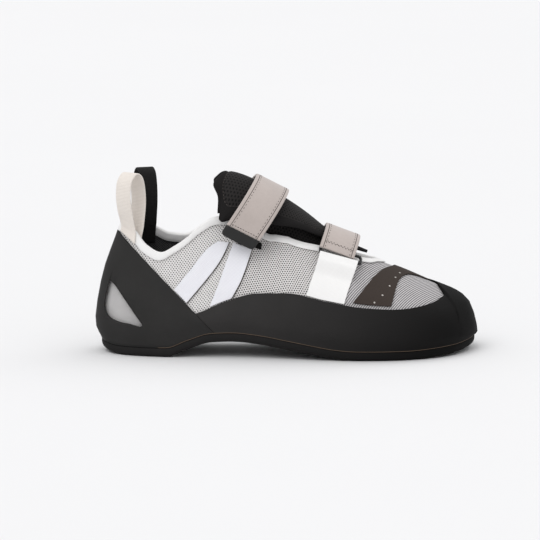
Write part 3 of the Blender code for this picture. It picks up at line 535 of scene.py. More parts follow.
@lru_cache(maxsize=None)
def ridge_offset(x):
    """How far the last's ridge lies to the medial side at a distance along it."""
    q = solve(lambda q: place_share(q, 1.0) * LAST_LENGTH - x, 0.0, STATIONS)
    return (last_point(q, 1.0)[1] + last_point(opposite(q), 1.0)[1]) / 2


def table_at(table, s):
    return through(np.array(table, float), s)


def line_frame(table, s):
    """Direction along a middle line in the upright plane, and the direction up from it."""
    ahead, behind = table_at(table, min(s + 0.05, len(table) - 1)), table_at(table, max(s - 0.05, 0))
    along = np.array((ahead[0] - behind[0], 0.0, ahead[1] - behind[1]))
    along /= np.linalg.norm(along)
    return along, np.array((along[2], 0.0, -along[0]))


def tongue_point(s, across, depth):
    """Point of the tongue: s along TONGUE_LINE, across -1 to 1, depth 0 on top and 1 underneath."""
    x, z, half, drop, wall = table_at(TONGUE_LINE, s)
    last = len(TONGUE_LINE) - 1
    near_rear = min(1.0, max(0.0, 1 - (last - s) / TONGUE_REAR_REACH))
    shift = (curve(TONGUE_REAR, abs(across)) - TONGUE_LINE[-1][0]) * near_rear**2
    _, up = line_frame(TONGUE_LINE, s)
    bend = math.radians(62)
    y = half * math.sin(bend * across) / math.sin(bend)
    fall = drop * (1 - math.cos(bend * across)) / (1 - math.cos(bend))
    edge = 1 - 0.55 * abs(across) ** 4
    top = np.array((drawn_x(x + shift), y + ridge_offset(round(x, 3)), z)) - up * fall
    tilt = math.atan2(drop * 1.6 * abs(across), half) * (1 if across > 0 else -1)
    inward_way = -up * math.cos(tilt) - np.array((0, math.sin(tilt), 0))
    return top + inward_way * wall * edge * depth


def strap_frame(centre, lean, skew):
    """Origin of a strap's plane, its upward direction and the direction of its width."""
    angle, turn = math.radians(lean), math.radians(skew)
    origin = np.array((drawn_x(centre[0]), 0.0, centre[1]))
    up = np.array((math.sin(angle), 0.0, math.cos(angle)))
    return origin, up, np.array((math.cos(turn), 0.0, -math.sin(turn)))


def path_points(path, s_from, s_to, steps):
    """Places along a path in the strap's plane, with the outward direction at each."""
    made = []
    for n in range(steps + 1):
        s = s_from + (s_to - s_from) * n / steps
        at = table_at(path, s)
        ahead = table_at(path, min(s + 0.05, len(path) - 1))
        behind = table_at(path, max(s - 0.05, 0))
        run = ahead - behind
        out = np.array((-run[1], run[0])) / np.linalg.norm(run)
        made.append((at, out))
    return made


def seen_share(q, up):
    """The t at which the wall at q is seen at a height."""
    def rise(t):
        point = last_point(q, t)
        return point[1] * math.sin(SIGHT_ANGLE) + point[2] * math.cos(SIGHT_ANGLE) - up
    return solve(rise, 0.0, 1.0)


def seen_place(x, up):
    """Loop position and t of the lateral wall's point seen at a distance along the last and a height."""
    q = solve(lambda q: last_point(q, seen_share(q, up))[0] - drawn_x(x), 0.5, STATIONS - 0.5)
    return q, seen_share(q, up)


def foot_shift(place):
    """How far t moves to bring a sheet's lowest point just above the rubber."""
    q, t = place
    return below_edge(q, cover_share(q), -FOOT_CLEAR) - t


def webbing_rise(s):
    """Lift of the anchor webbing where its top turns over the ring's lower bar."""
    fall = min(1.0, max(0.0, (s - 0.2) / 0.3))
    return WEBBING_TURN * (1 - fall * fall * (3 - 2 * fall))


# Fine surface

def cut_lines(qs):
    """Wall lines of many loop positions, with one more point at either end."""
    lines = np.array([wall_line(round(float(q) % LOOP, 4)) for q in qs])
    first = 2 * lines[:, :1] - lines[:, 1:2]
    last = 2 * lines[:, -1:] - lines[:, -2:-1]
    return np.concatenate((first, lines, last), axis=1)


def on_lines(lines, ts):
    """Points on wall lines, for a grid of t with one column per line."""
    s = np.clip(3 * ts, 0.0, 3.999)
    k = np.floor(s).astype(int)
    f = (s - k)[..., None]
    column = np.arange(lines.shape[0])[None, :]
    before, a, b, after = (lines[column, k + i] for i in range(4))
    return 0.5 * (
        2 * a + (b - before) * f + (2 * before - 5 * a + 4 * b - after) * f**2
        + (3 * a - before - 3 * b + after) * f**3
    )


def surface(qs, ts, lift=0.0):
    """Grid of points lifted off the last, and the normals there."""
    step = 0.012
    ts = np.asarray(ts, float)
    point = on_lines(cut_lines(qs), ts)
    up = on_lines(cut_lines(qs), ts + step) - on_lines(cut_lines(qs), np.maximum(ts - step, 0.0))
    ahead, behind = cut_lines([q + step for q in qs]), cut_lines([q - step for q in qs])
    along = on_lines(ahead, ts) - on_lines(behind, ts)
    normal = np.cross(along, up)
    low = ts < 1 / 3
    normal[..., 2] = np.where(low, np.maximum(normal[..., 2], 0.0), normal[..., 2])
    normal /= np.linalg.norm(normal, axis=-1, keepdims=True)
    lift = np.broadcast_to(np.asarray(lift, float), ts.shape)
    return point + normal * lift[..., None], normal


def spaced(points):
    """Distance run along a row of points, from its first one."""
    runs = np.linalg.norm(np.diff(points, axis=0), axis=1)
    return np.concatenate(([0.0], np.cumsum(runs)))


# Meshes

def new_object(name, points, faces, finish, smooth=True):
    mesh = bpy.data.meshes.new(name)
    mesh.from_pydata((np.asarray(points) * METRE).tolist(), [], faces)
    mesh.materials.append(finish)
    if smooth:
        mesh.shade_smooth()
    obj = bpy.data.objects.new(name, mesh)
    bpy.context.scene.collection.objects.link(obj)
    return obj


def add_cloth_map(obj, places):
    """Cloth coordinates in millimetres for every vertex, as a UV map."""
    layer = obj.data.uv_layers.new(name="cloth")
    corner = np.empty(len(obj.data.loops), dtype=np.int32)
    obj.data.loops.foreach_get("vertex_index", corner)
    layer.data.foreach_set("uv", np.asarray(places, dtype=np.float32)[corner].ravel())


def tidy_mesh(obj, merge=0.02):
    work = bmesh.new()
    work.from_mesh(obj.data)
    bmesh.ops.remove_doubles(work, verts=work.verts, dist=merge * METRE)
    bmesh.ops.recalc_face_normals(work, faces=work.faces)
    if work.calc_volume(signed=True) < 0:
        bmesh.ops.reverse_faces(work, faces=work.faces)
    work.to_mesh(obj.data)
    work.free()


def sheet_solid(name, outer, inner, finish, ring=False, zipped=None, merge=0.02, cloth=None, lining=None):
    """Closed wall between two grids of points, with cloth coordinates taken from the outer one."""
    outer, inner = np.asarray(outer, float), np.asarray(inner, float)
    height, width = outer.shape[:2]
    points = np.concatenate((outer.reshape(-1, 3), inner.reshape(-1, 3)))
    offset = height * width
    faces = []
    columns = width if ring else width - 1
    for r in range(height - 1):
        for c in range(columns):
            d = (c + 1) % width
            a, b = r * width, (r + 1) * width
            faces.append((a + c, a + d, b + d, b + c))
    shown = len(faces)
    for r in range(height - 1):
        for c in range(columns):
            d = (c + 1) % width
            a, b = offset + r * width, offset + (r + 1) * width
            faces.append((b + c, b + d, a + d, a + c))
    for c in range(columns):
        d = (c + 1) % width
        faces.append((offset + c, offset + d, d, c))
        top = (height - 1) * width
        if not (zipped is not None and zipped[c] and zipped[d]):
            faces.append((top + c, top + d, offset + top + d, offset + top + c))
    if not ring:
        for r in range(height - 1):
            a, b = r * width, (r + 1) * width
            faces.append((a, b, offset + b, offset + a))
            faces.append((a + width - 1, offset + a + width - 1, offset + b + width - 1, b + width - 1))
    obj = new_object(name, points, faces, finish)
    if lining:
        obj.data.materials.append(lining)
        for face in list(obj.data.polygons)[shown:]:
            face.material_index = 1
    if cloth is None:
        middle = outer[height // 2]
        u = spaced(middle)
        v = np.array([spaced(outer[:, c]) for c in range(width)]).T
        cloth = np.stack((np.broadcast_to(u, v.shape), v), axis=-1)
    add_cloth_map(obj, np.concatenate((cloth.reshape(-1, 2), cloth.reshape(-1, 2))))
    tidy_mesh(obj, merge)
    return obj


def soft_edges(obj, width, segments=2, angle=40):
    bevel = obj.modifiers.new("edges", "BEVEL")
    bevel.width = width * METRE
    bevel.segments = segments
    bevel.limit_method = "ANGLE"
    bevel.angle_limit = math.radians(angle)
    bevel.harden_normals = False


def dress(obj, slot, *nodes):
    """The piece rides on the shoe and stands for these solids, which it hides. slot is not used."""
    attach(obj, "root")
    if nodes:
        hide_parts(*nodes)
    return obj


# Materials

class Finish:
    """A Principled material and short calls to wire its nodes."""

    def __init__(self, name, roughness=0.8, sheen=0.0, specular=0.3):
        self.material = bpy.data.materials.new(name)
        self.material.use_nodes = True
        self.tree = self.material.node_tree
        self.shader = self.tree.nodes["Principled BSDF"]
        self.shader.inputs["Roughness"].default_value = roughness
        self.shader.inputs["Specular IOR Level"].default_value = specular
        if sheen:
            self.shader.inputs["Sheen Weight"].default_value = sheen
            self.shader.inputs["Sheen Roughness"].default_value = 0.5

    def node(self, kind, **values):
        made = self.tree.nodes.new(kind)
        for key, value in values.items():
            setattr(made, key, value)
        return made

    def link(self, source, target):
        self.tree.links.new(source, target)

    def math(self, operation, a, b=None, c=None):
        made = self.node("ShaderNodeMath", operation=operation)
        for socket, value in zip(made.inputs, (a, b, c)):
            if value is None:
                continue
            if isinstance(value, (int, float)):
                socket.default_value = value
            else:
                self.link(value, socket)
        return made.outputs[0]

    def cloth(self, turn=0.0, pitch=(1.0, 1.0)):
        """Cloth coordinates in threads, turned by an angle: the two separate outputs."""
        place = self.node("ShaderNodeUVMap", uv_map="cloth")
        split = self.node("ShaderNodeSeparateXYZ")
        self.link(place.outputs[0], split.inputs[0])
        cos, sin = math.cos(math.radians(turn)), math.sin(math.radians(turn))
        u, v = split.outputs[0], split.outputs[1]
        along = self.math("MULTIPLY_ADD", v, sin, self.math("MULTIPLY", u, cos))
        across = self.math("MULTIPLY_ADD", v, cos, self.math("MULTIPLY", u, -sin))
        return self.math("DIVIDE", along, pitch[0]), self.math("DIVIDE", across, pitch[1])

    def wave(self, value, sharp=1.0):
        """0 to 1 wave with one period per unit."""
        turned = self.math("COSINE", self.math("MULTIPLY", value, 2 * math.pi))
        level = self.math("MULTIPLY_ADD", turned, 0.5, 0.5)
        return self.math("POWER", level, sharp) if sharp != 1.0 else level

    def step(self, value, low, high):
        """Smooth step from 0 at low to 1 at high."""
        made = self.node("ShaderNodeMapRange", interpolation_type="SMOOTHSTEP")
        made.inputs["From Min"].default_value = low
        made.inputs["From Max"].default_value = high
        self.link(value, made.inputs["Value"])
        return made.outputs[0]

    def noise(self, scale, detail=3.0, roughness=0.55):
        """Noise over the object, scale in lumps per metre."""
        place = self.node("ShaderNodeTexCoord")
        made = self.node("ShaderNodeTexNoise")
        made.inputs["Scale"].default_value = scale
        made.inputs["Detail"].default_value = detail
        made.inputs["Roughness"].default_value = roughness
        self.link(place.outputs["Object"], made.inputs["Vector"])
        return made.outputs["Fac"]

    def mix(self, factor, a, b):
        """Colour between a and b."""
        made = self.node("ShaderNodeMix", data_type="RGBA")
        self.link(factor, made.inputs["Factor"])
        for socket, value in ((made.inputs[6], a), (made.inputs[7], b)):
            if isinstance(value, tuple):
                socket.default_value = (*value, 1.0)
            else:
                self.link(value, socket)
        return made.outputs[2]

    def colour(self, value):
        if isinstance(value, tuple):
            self.shader.inputs["Base Color"].default_value = (*value, 1.0)
        else:
            self.link(value, self.shader.inputs["Base Color"])

    def rough(self, value, low, high):
        made = self.node("ShaderNodeMapRange")
        made.inputs["To Min"].default_value = low
        made.inputs["To Max"].default_value = high
        self.link(value, made.inputs["Value"])
        self.link(made.outputs[0], self.shader.inputs["Roughness"])

    def bump(self, height, depth, strength=1.0):
        """Bump of a depth in millimetres."""
        made = self.node("ShaderNodeBump")
        made.inputs["Strength"].default_value = strength
        made.inputs["Distance"].default_value = depth * METRE
        self.link(height, made.inputs["Height"])
        self.link(made.outputs[0], self.shader.inputs["Normal"])


def mesh_fabric(name, thread, hole, turn, pitch, sharp, edges=(0.3, 0.7), depth=0.35, sheen=0.15):
    """Open mesh with rows of small holes, each row half a step from the next."""
    f = Finish(name, 0.85, sheen, 0.2)
    a, b = f.cloth(turn, pitch)
    holes = f.math("MULTIPLY", f.wave(a, sharp[0]), f.wave(b, sharp[1]))
    halfway = f.wave(f.math("ADD", a, 0.5), sharp[0]), f.wave(f.math("ADD", b, 0.5), sharp[1])
    both = f.step(f.math("ADD", holes, f.math("MULTIPLY", *halfway)), *edges)
    lumps = f.noise(260)
    lit = f.mix(lumps, tuple(0.9 * c for c in thread), tuple(1.1 * c for c in thread))
    f.colour(f.mix(both, lit, hole))
    f.rough(lumps, 0.75, 0.95)
    f.bump(f.math("SUBTRACT", 1.0, both), depth)
    return f.material


def ribbed_fabric(name, rib, groove, turn, pitch):
    """Knit with slanted ribs crossed by short threads."""
    f = Finish(name, 0.85, 0.15, 0.25)
    a, b = f.cloth(turn, pitch)
    ribs = f.wave(b, 0.7)
    row = f.math("FLOOR", f.math("ADD", b, 0.5))
    beads = f.wave(f.math("ADD", a, f.math("MULTIPLY", row, 0.5)), 0.7)
    high = f.math("MULTIPLY", ribs, f.math("MULTIPLY_ADD", beads, 0.5, 0.5))
    lumps = f.noise(200)
    lit = f.mix(lumps, tuple(0.92 * c for c in rib), tuple(1.06 * c for c in rib))
    f.colour(f.mix(f.step(high, 0.1, 0.6), groove, lit))
    f.rough(lumps, 0.75, 0.92)
    f.bump(high, 0.4)
    return f.material


def webbing(name, colour, shade, pitch, depth=0.2, roughness=0.8, sheen=0.2):
    """Plain woven tape."""
    f = Finish(name, roughness, sheen, 0.2)
    a, b = f.cloth(0, (pitch, pitch))
    weave = f.math("MULTIPLY", f.wave(a, 0.6), f.wave(b, 0.6))
    lumps = f.noise(150)
    lit = f.mix(lumps, tuple(0.92 * c for c in colour), tuple(min(1.0, 1.06 * c) for c in colour))
    f.colour(f.mix(weave, shade, lit))
    f.rough(lumps, roughness - 0.08, min(1.0, roughness + 0.1))
    f.bump(weave, depth)
    return f.material


# The rubber is painted darker between these distances along the foot, in metres: painted shade toward the
# toe
TOE_PAINTED_SHADE = (0.04, 0.24)


def rubber(name, colour, worn, toe=None, specular=0.13):
    """Matte rubber, slightly dusty, with a fine grain, and with painted shade darkening it toward the toe
    where a toe colour is given.
    """
    f = Finish(name, 0.7, 0.0, specular)
    dust = f.noise(38, 5.0, 0.65)
    grain = f.noise(1400, 2.0)
    shade = f.mix(dust, colour, worn)
    # Painted shade: the colour fades to the darker toe colour toward the toe
    if toe:
        place = f.node("ShaderNodeTexCoord")
        split = f.node("ShaderNodeSeparateXYZ")
        f.link(place.outputs["Object"], split.inputs[0])
        shade = f.mix(f.step(split.outputs[0], *TOE_PAINTED_SHADE), shade, toe)
    f.colour(shade)
    f.rough(dust, 0.58, 0.82)
    f.bump(f.math("MULTIPLY_ADD", grain, 0.6, f.math("MULTIPLY", dust, 0.5)), 0.12)
    return f.material


def suede(name, colour, deep):
    f = Finish(name, 0.95, 0.35, 0.15)
    nap = f.noise(520, 4.0, 0.7)
    cloud = f.noise(45, 3.0)
    f.colour(f.mix(f.math("MULTIPLY_ADD", nap, 0.5, f.math("MULTIPLY", cloud, 0.5)), deep, colour))
    f.rough(nap, 0.85, 1.0)
    f.bump(nap, 0.18)
    return f.material


def plain(name, colour, roughness, specular=0.4, lumps=300, depth=0.05):
    f = Finish(name, roughness, 0.0, specular)
    grain = f.noise(lumps)
    f.colour(f.mix(grain, tuple(0.85 * c for c in colour), tuple(1.15 * c for c in colour)))
    f.rough(grain, roughness - 0.06, roughness + 0.06)
    f.bump(grain, depth)
    return f.material


REAR_MESH = mesh_fabric("rear_mesh", (0.76, 0.74, 0.73), (0.045, 0.045, 0.045), 0, (1.83, 2.66), (1.6, 3.5))
SIDE_MESH = mesh_fabric(
    "side_mesh", (0.70, 0.675, 0.665), (0.012, 0.012, 0.013), 65, (1.8, 2.8), (0.9, 3.2),
)
TOE_MESH = ribbed_fabric("toe_mesh", (0.60, 0.58, 0.585), (0.085, 0.08, 0.085), 60, (1.45, 1.3))
WINDOW_CLOTH = mesh_fabric(
    "window_cloth", (0.74, 0.725, 0.715), (0.48, 0.47, 0.47), 0, (0.9, 0.9), (1.0, 1.0),
)
LINING = mesh_fabric("lining", (0.09, 0.09, 0.09), (0.01, 0.01, 0.01), 0, (1.8, 1.8), (1.5, 1.5))
WHITE_TAPE = webbing("white_tape", (0.95, 0.945, 0.935), (0.84, 0.83, 0.82), 0.8, 0.12, 0.75)
LAVENDER_TAPE = webbing("lavender_tape", (0.93, 0.93, 0.97), (0.79, 0.79, 0.845), 0.9, 0.15, 0.7)
BEIGE_TAPE = webbing("beige_tape", (0.93, 0.87, 0.81), (0.76, 0.70, 0.64), 1.0, 0.22, 0.88)
BLACK_TAPE = webbing("black_tape", (0.014, 0.013, 0.013), (0.005, 0.005, 0.005), 1.0, 0.25, 0.85, 0.03)
TONGUE_MESH = mesh_fabric(
    "tongue_mesh", (0.018, 0.016, 0.0155), (0.002, 0.002, 0.002), 90, (2.3, 4.0), (1.0, 2.4), sheen=0.03,
)
TONGUE_EDGE = plain("tongue_edge", (0.011, 0.010, 0.010), 0.9, 0.15, 500, 0.1)
STRAP_SUEDE = suede("strap_suede", (0.55, 0.485, 0.455), (0.39, 0.34, 0.315))
# The third colour of the rand and sole rubber is painted shade at the toe; the rubber itself is the same
# all along
RAND_RUBBER = rubber(
    "rand_rubber", (0.026, 0.025, 0.0245), (0.040, 0.038, 0.0375), (0.0015, 0.0014, 0.0014), 0.09,
)
HEEL_RUBBER = rubber("heel_rubber", (0.018, 0.0175, 0.017), (0.034, 0.033, 0.0325))
# The sole's third colour is painted shade at the toe as well
SOLE_RUBBER = rubber(
    "sole_rubber", (0.012, 0.0115, 0.0115), (0.022, 0.021, 0.021), (0.002, 0.002, 0.002), 0.09,
)
OVERLAY_FILM = plain("overlay_film", (0.044, 0.034, 0.029), 0.85, 0.15, 900, 0.12)
TAB_PLASTIC = plain("tab_plastic", (0.008, 0.008, 0.008), 0.42, 0.4, 400, 0.03)
RING_PLASTIC = plain("ring_plastic", (0.007, 0.007, 0.007), 0.36, 0.4, 400, 0.02)
HOOKS = plain("hooks", (0.008, 0.008, 0.008), 0.95, 0.1, 2500, 0.4)
DOT_PRINT = plain("dot_print", (0.50, 0.47, 0.44), 0.8, 0.2, 900, 0.02)
DARK_THREAD = plain("dark_thread", (0.075, 0.064, 0.058), 0.85, 0.2, 900, 0.1)
GLUE_LINE = plain("glue_line", (0.10, 0.070, 0.048), 0.6, 0.3, 200, 0.05)
FOOTBED = plain("footbed", (0.10, 0.10, 0.105), 0.95, 0.2, 900, 0.15)


# Pieces that follow the last

PER_STATION = 10
OVERLAY_DOTS = ((205.4, 52.1), (202.3, 49.0), (198.1, 43.2), (193.1, 37.0), (187.6, 32.2))


def smooth(value):
    """Smooth step from 0 to 1, for a number or an array."""
    value = np.clip(value, 0.0, 1.0)
    return value * value * (3 - 2 * value)


def fine_positions():
    """Loop positions of the fine columns, closer together at the end of the throat."""
    side = [n / PER_STATION for n in range(1, STATIONS * PER_STATION)]
    side += [q + 0.5 / PER_STATION for q in side if 7.4 <= q < 8.5]
    side.sort()
    return [0.0] + side + [float(STATIONS)] + [LOOP - q for q in reversed(side)]


def cloth_height(qs, ts):
    """Distance along the wall from the ridge, negative on the lateral side."""
    steps = np.linspace(0, 1, 25)
    samples = on_lines(cut_lines(qs), np.repeat(steps[:, None], len(qs), axis=1))
    runs = np.linalg.norm(np.diff(samples, axis=0), axis=2)
    sums = np.concatenate((np.zeros((1, len(qs))), np.cumsum(runs, axis=0)))
    made = np.empty_like(ts)
    for c, q in enumerate(qs):
        sign = -1.0 if is_lateral(q) else 1.0
        made[:, c] = sign * (sums[-1, c] - np.interp(ts[:, c], steps, sums[:, c]))
    return made


def region(point):
    """Which cloth shows at a point of the upper: 1 rear mesh, 2 side mesh, 3 toe knit, 4 window cloth."""
    x, y, z = point
    up = z * math.cos(SIGHT_ANGLE) - abs(y) * math.sin(SIGHT_ANGLE)
    drawn = x + SEAT_FROM_BACK
    if x < band_line(z):
        return 4
    if drawn < 83.5 + (up - 34.5) * 0.4:
        return 1
    if drawn < 154.0 + (up - 36.0) * 0.35:
        return 2
    return 3


# Soft creases in the cloth: from x, z to x, z, half width, lift
CREASES = (
    (70, 67, 84, 50, 5.0, -0.55), (77, 69, 92, 53, 4.0, 0.20), (96, 63, 108, 50, 4.5, -0.45),
    (142, 51, 152, 37, 4.0, -0.40), (158, 47, 168, 34, 4.0, -0.35), (14, 66, 26, 54, 4.0, -0.40),
    (183, 37, 191, 27, 3.5, -0.25),
)


def crease_lift(points):
    """Rise and fall of the cloth at points on it."""
    total = np.zeros(points.shape[:-1])
    for x0, z0, x1, z1, half, lift in CREASES:
        start, way = np.array((x0, z0)), np.array((x1 - x0, z1 - z0), float)
        flat = points[..., [0, 2]] - start
        share = flat @ way / (way @ way)
        off = flat - np.clip(share, 0, 1)[..., None] * way
        total += lift * np.exp(-(off**2).sum(-1) / half**2)
    return total


def fine_upper():
    qs = fine_positions()
    edges = np.array([edge_share(q) for q in qs])
    covers = np.array([cover_share(q) for q in qs])
    low = np.linspace(0, 1, 9)[:-1, None] * covers
    high = covers + np.linspace(0, 1, 17)[:, None] * (edges - covers)
    ts = np.concatenate((low, high))
    outer, normals = surface(qs, ts)
    inner, _ = surface(qs, ts, -UPPER_WALL)
    fold = crease_lift(outer) * smooth((ts - covers) * 6) * smooth((edges - ts) * 6)
    outer, inner = outer + normals * fold[..., None], inner + normals * fold[..., None]
    inner[..., 2] = np.maximum(inner[..., 2], outer[0, :, 2] + UPPER_WALL)
    closed = edges == 1.0
    for c in np.nonzero(closed)[0]:
        other = (len(qs) - c) % len(qs)
        for grid in (outer, inner):
            grid[-1, c] = grid[-1, other] = (grid[-1, c] + grid[-1, other]) / 2
    margin = np.array([inward(q, point, LASTING_MARGIN) for q, point in zip(qs, outer[0])])
    raised = margin + np.array((0, 0, UPPER_WALL))
    v = cloth_height(qs, ts)
    u = outer[..., 0] + SEAT_FROM_BACK
    cloth = np.stack((u, v), axis=-1)
    cloth = np.concatenate((cloth[:1], cloth))
    obj = sheet_solid(
        "upper_shell", np.concatenate((margin[None], outer)), np.concatenate((raised[None], inner)),
        REAR_MESH, True, closed, 0.05, cloth, LINING,
    )
    for finish in (REAR_MESH, SIDE_MESH, TOE_MESH, WINDOW_CLOTH):
        obj.data.materials.append(finish)
    for face in obj.data.polygons:
        if face.material_index == 0:
            face.material_index = 1 + region(face.center / METRE)
    return dress(obj, "mesh_grey", "upper")


def fine_outsole():
    qs = fine_positions()
    out = RUBBER_GAP + RAND_WALL
    radius = SOLE_EDGE_RADIUS
    profile = ((3 * radius, 0.0), (2 * radius, 0.0), (radius, 0.0), (0.62 * radius, 0.05 * radius),
               (0.29 * radius, 0.24 * radius), (0.08 * radius, 0.58 * radius), (0.0, radius))
    edges = [sole_outline(q, out) for q in qs]
    rows = []
    for inset, lift in profile:
        row = []
        for q, edge in zip(qs, edges):
            point = inward(q, edge, inset) if inset else edge
            share = (point[0] + SEAT_FROM_BACK) / LAST_LENGTH
            row.append(np.array((point[0], point[1], sole_underside(share) + lift)))
        rows.append(row)
    spine = []
    for q in qs:
        x = world_x(spine_share(q))
        spine.append(np.array((x, spine_offset(q), sole_underside(spine_share(q)))))
    tops, inner_tops, middle_tops = [], [], []
    for q, edge in zip(qs, edges):
        height = last_point(q, 0.0)[2] - GAP
        tops.append(np.array((edge[0], edge[1], height - 0.5)))
        inset = inward(q, edge, 0.4)
        inner_tops.append(np.array((inset[0], inset[1], height)))
        middle_tops.append(np.array((world_x(spine_share(q)), spine_offset(q), height)))
    outer = [spine] + rows + [tops, inner_tops, middle_tops]
    obj = closed_rows("outsole_rubber", outer, SOLE_RUBBER)
    return dress(obj, "rubber", "outsole")


def closed_rows(name, rows, finish):
    """Solid whose first and last rows run along a spine, closed across it by merging mirrored columns."""
    rows = np.asarray(rows, float)
    height, width = rows.shape[:2]
    faces = []
    for r in range(height - 1):
        for c in range(width):
            d = (c + 1) % width
            faces.append((r * width + c, r * width + d, (r + 1) * width + d, (r + 1) * width + c))
    obj = new_object(name, rows.reshape(-1, 3), faces, finish)
    u = rows[..., 0]
    v = rows[..., 1] + rows[..., 2]
    add_cloth_map(obj, np.stack((u, v), axis=-1).reshape(-1, 2))
    tidy_mesh(obj, 0.02)
    return obj


def rubber_wall(f, top_thickness, thickness, taper=0.3):
    """Thickness of a rubber wall at a height fraction, thinning towards its top edge."""
    return top_thickness + (thickness - top_thickness) * smooth((1 - f) / taper)


def wall_rows(name, places_at, finish):
    """Rubber wall whose columns at height fraction f come from places_at(f) as pairs of q and top share."""
    fractions = [0.0, 0.06, 0.15, 0.27, 0.4, 0.54, 0.67, 0.78, 0.87, 0.94, 0.98, 1.0]
    outer, inner = [], []
    for f in fractions:
        places = places_at(f)
        qs = [q for q, _ in places]
        ts = np.array([[f * top for _, top in places]])
        wall = RUBBER_GAP + rubber_wall(f, RAND_SKIVE, RAND_WALL)
        outer.append(surface(qs, ts, wall)[0][0])
        inner.append(surface(qs, ts, RUBBER_GAP)[0][0])
    outer, inner = np.array(outer), np.array(inner)
    tops = [top for _, top in places_at(1.0)]
    zipped = [top == 1.0 for top in tops]
    return sheet_solid(name, outer, inner, finish, False, zipped, 0.05)


def fine_rand():
    tops = seam_tops()
    start = {}
    for side in (1, -1):
        top = tops[side][1]
        foot = seam_position(side, top, 0.0, GAP / 2)
        beyond = math.ceil((foot + 0.2) * PER_STATION) / PER_STATION
        start[side] = (top, seam_position(side, top, 1.0, GAP / 2), beyond)

    def end(side, f):
        top, at_top, beyond = start[side]
        first = seam_position(side, top, f, GAP / 2)
        made = []
        for j in range(12):
            q_top = at_top + (beyond - at_top) * j / 12
            q = first + (beyond - first) * j / 12
            made.append((side_position(q, side), rand_share(side_position(q_top, side))))
        return made

    def places_at(f):
        near, far = end(1, f), end(-1, f)
        middle = [q for q in fine_positions() if start[1][2] <= q <= LOOP - start[-1][2]]
        return near + [(q, rand_share(q)) for q in middle] + far[::-1]

    obj = wall_rows("rand_rubber_wall", places_at, RAND_RUBBER)
    soft_edges(obj, 0.35)
    return dress(obj, "rubber", "rand")


def window_outline(count=6):
    """Heel window's outline, smooth except at its sharp corner."""
    points = [np.array((world_x(x), z * HEEL_HEIGHT)) for x, z in WINDOW]
    made = [points[0], points[1]]
    arc = [points[1]] + points[2:] + [points[0]]
    rounded = np.array(arc)
    for s in np.linspace(1, len(arc) - 1, count * (len(arc) - 2)):
        made.append(through(rounded, float(s)))
    return made[:-1]


def fine_heel_band():
    tops = seam_tops()

    def end(side, f):
        top = tops[side][1]
        last = seam_position(side, top, f, -GAP / 2)
        finish = seam_position(side, top, 1.0, -GAP / 2)
        straight = [q for q in fine_positions() if q < finish - 0.35]
        made = []
        for q in straight:
            place = side_position(q, side) % LOOP
            made.append((place, cover_share(place)))
        for j in range(1, 11):
            q_top = straight[-1] + (finish - straight[-1]) * j / 10
            q = straight[-1] + (last - straight[-1]) * j / 10
            made.append((side_position(q, side), cover_share(side_position(q_top, side))))
        return made

    def places_at(f):
        return end(1, f)[::-1] + end(-1, f)[1:]

    obj = wall_rows("heel_band_rubber", places_at, HEEL_RUBBER)
    outline = window_outline()
    count = len(outline)
    points = [(x, y, z) for y in (-BALL_WIDTH, BALL_WIDTH) for x, z in outline]
    faces = [tuple(range(count)), tuple(range(2 * count - 1, count - 1, -1))]
    faces += [(i, (i + 1) % count, count + (i + 1) % count, count + i) for i in range(count)]
    cutter = new_object("window_shape", points, faces, HEEL_RUBBER, False)
    tidy_mesh(cutter)
    cut = obj.modifiers.new("windows", "BOOLEAN")
    cut.object = cutter
    cut.operation = "DIFFERENCE"
    apply_modifiers(obj)
    bpy.data.objects.remove(cutter)
    return dress(obj, "rubber", "heel_band")


def apply_modifiers(obj):
    bpy.context.view_layer.update()
    graph = bpy.context.evaluated_depsgraph_get()
    made = bpy.data.meshes.new_from_object(obj.evaluated_get(graph))
    obj.modifiers.clear()
    obj.data = made


def fine_binding():
    """Folded tape over the collar and throat edge, rounded over its fold."""
    every = fine_positions()
    edges = [edge_share(q) for q in every]
    tip = every[edges.index(1.0)]
    qs = [q for q, edge in zip(every, edges) if edge < 1.0 or q == tip]
    outside, inside = BINDING_GAP + BINDING_WALL, UPPER_WALL + BINDING_INSIDE + BINDING_WALL
    columns = []
    for q in qs:
        edge = edge_share(q)
        rim = last_point(q, edge)
        out = last_normal(q, edge)
        up = last_point(q, edge + 0.01) - last_point(q, edge - 0.01)
        if q == tip:
            up = last_point(q - 0.1, 1.0) - rim
        up = up / np.linalg.norm(up)
        low = below_edge(q, edge, BINDING_WIDTH)

        def along(share, depth):
            if q == tip:
                return rim - up * BINDING_WIDTH * (1 - share) + out * depth
            return lifted(q, low + (edge - low) * share, depth)

        def fold(angle, shrink):
            half = (outside + inside) / 2 - shrink
            centre = (outside - inside) / 2
            rise = GAP + BINDING_WALL - shrink
            return rim + out * (centre + half * math.cos(angle)) + up * rise * math.sin(angle)

        angles = [math.pi * k / 6 for k in range(7)]
        section = [along(0.0, outside - 0.25), along(0.08, outside), along(0.5, outside)]
        section += [fold(angle, 0.0) for angle in angles]
        section += [along(0.5, -inside), along(0.08, -inside), along(0.0, 0.25 - inside)]
        section += [along(0.0, 0.1 - inside + BINDING_WALL), along(0.5, BINDING_WALL - inside)]
        section += [fold(angle, BINDING_WALL) for angle in angles[::-2]]
        section += [along(0.5, BINDING_GAP), along(0.0, BINDING_GAP)]
        columns.append(section)
    rows = np.array(columns).transpose(1, 0, 2)
    obj = tube_rows("binding_tape", rows, WHITE_TAPE, True)
    return dress(obj, "webbing_white", "collar_binding")


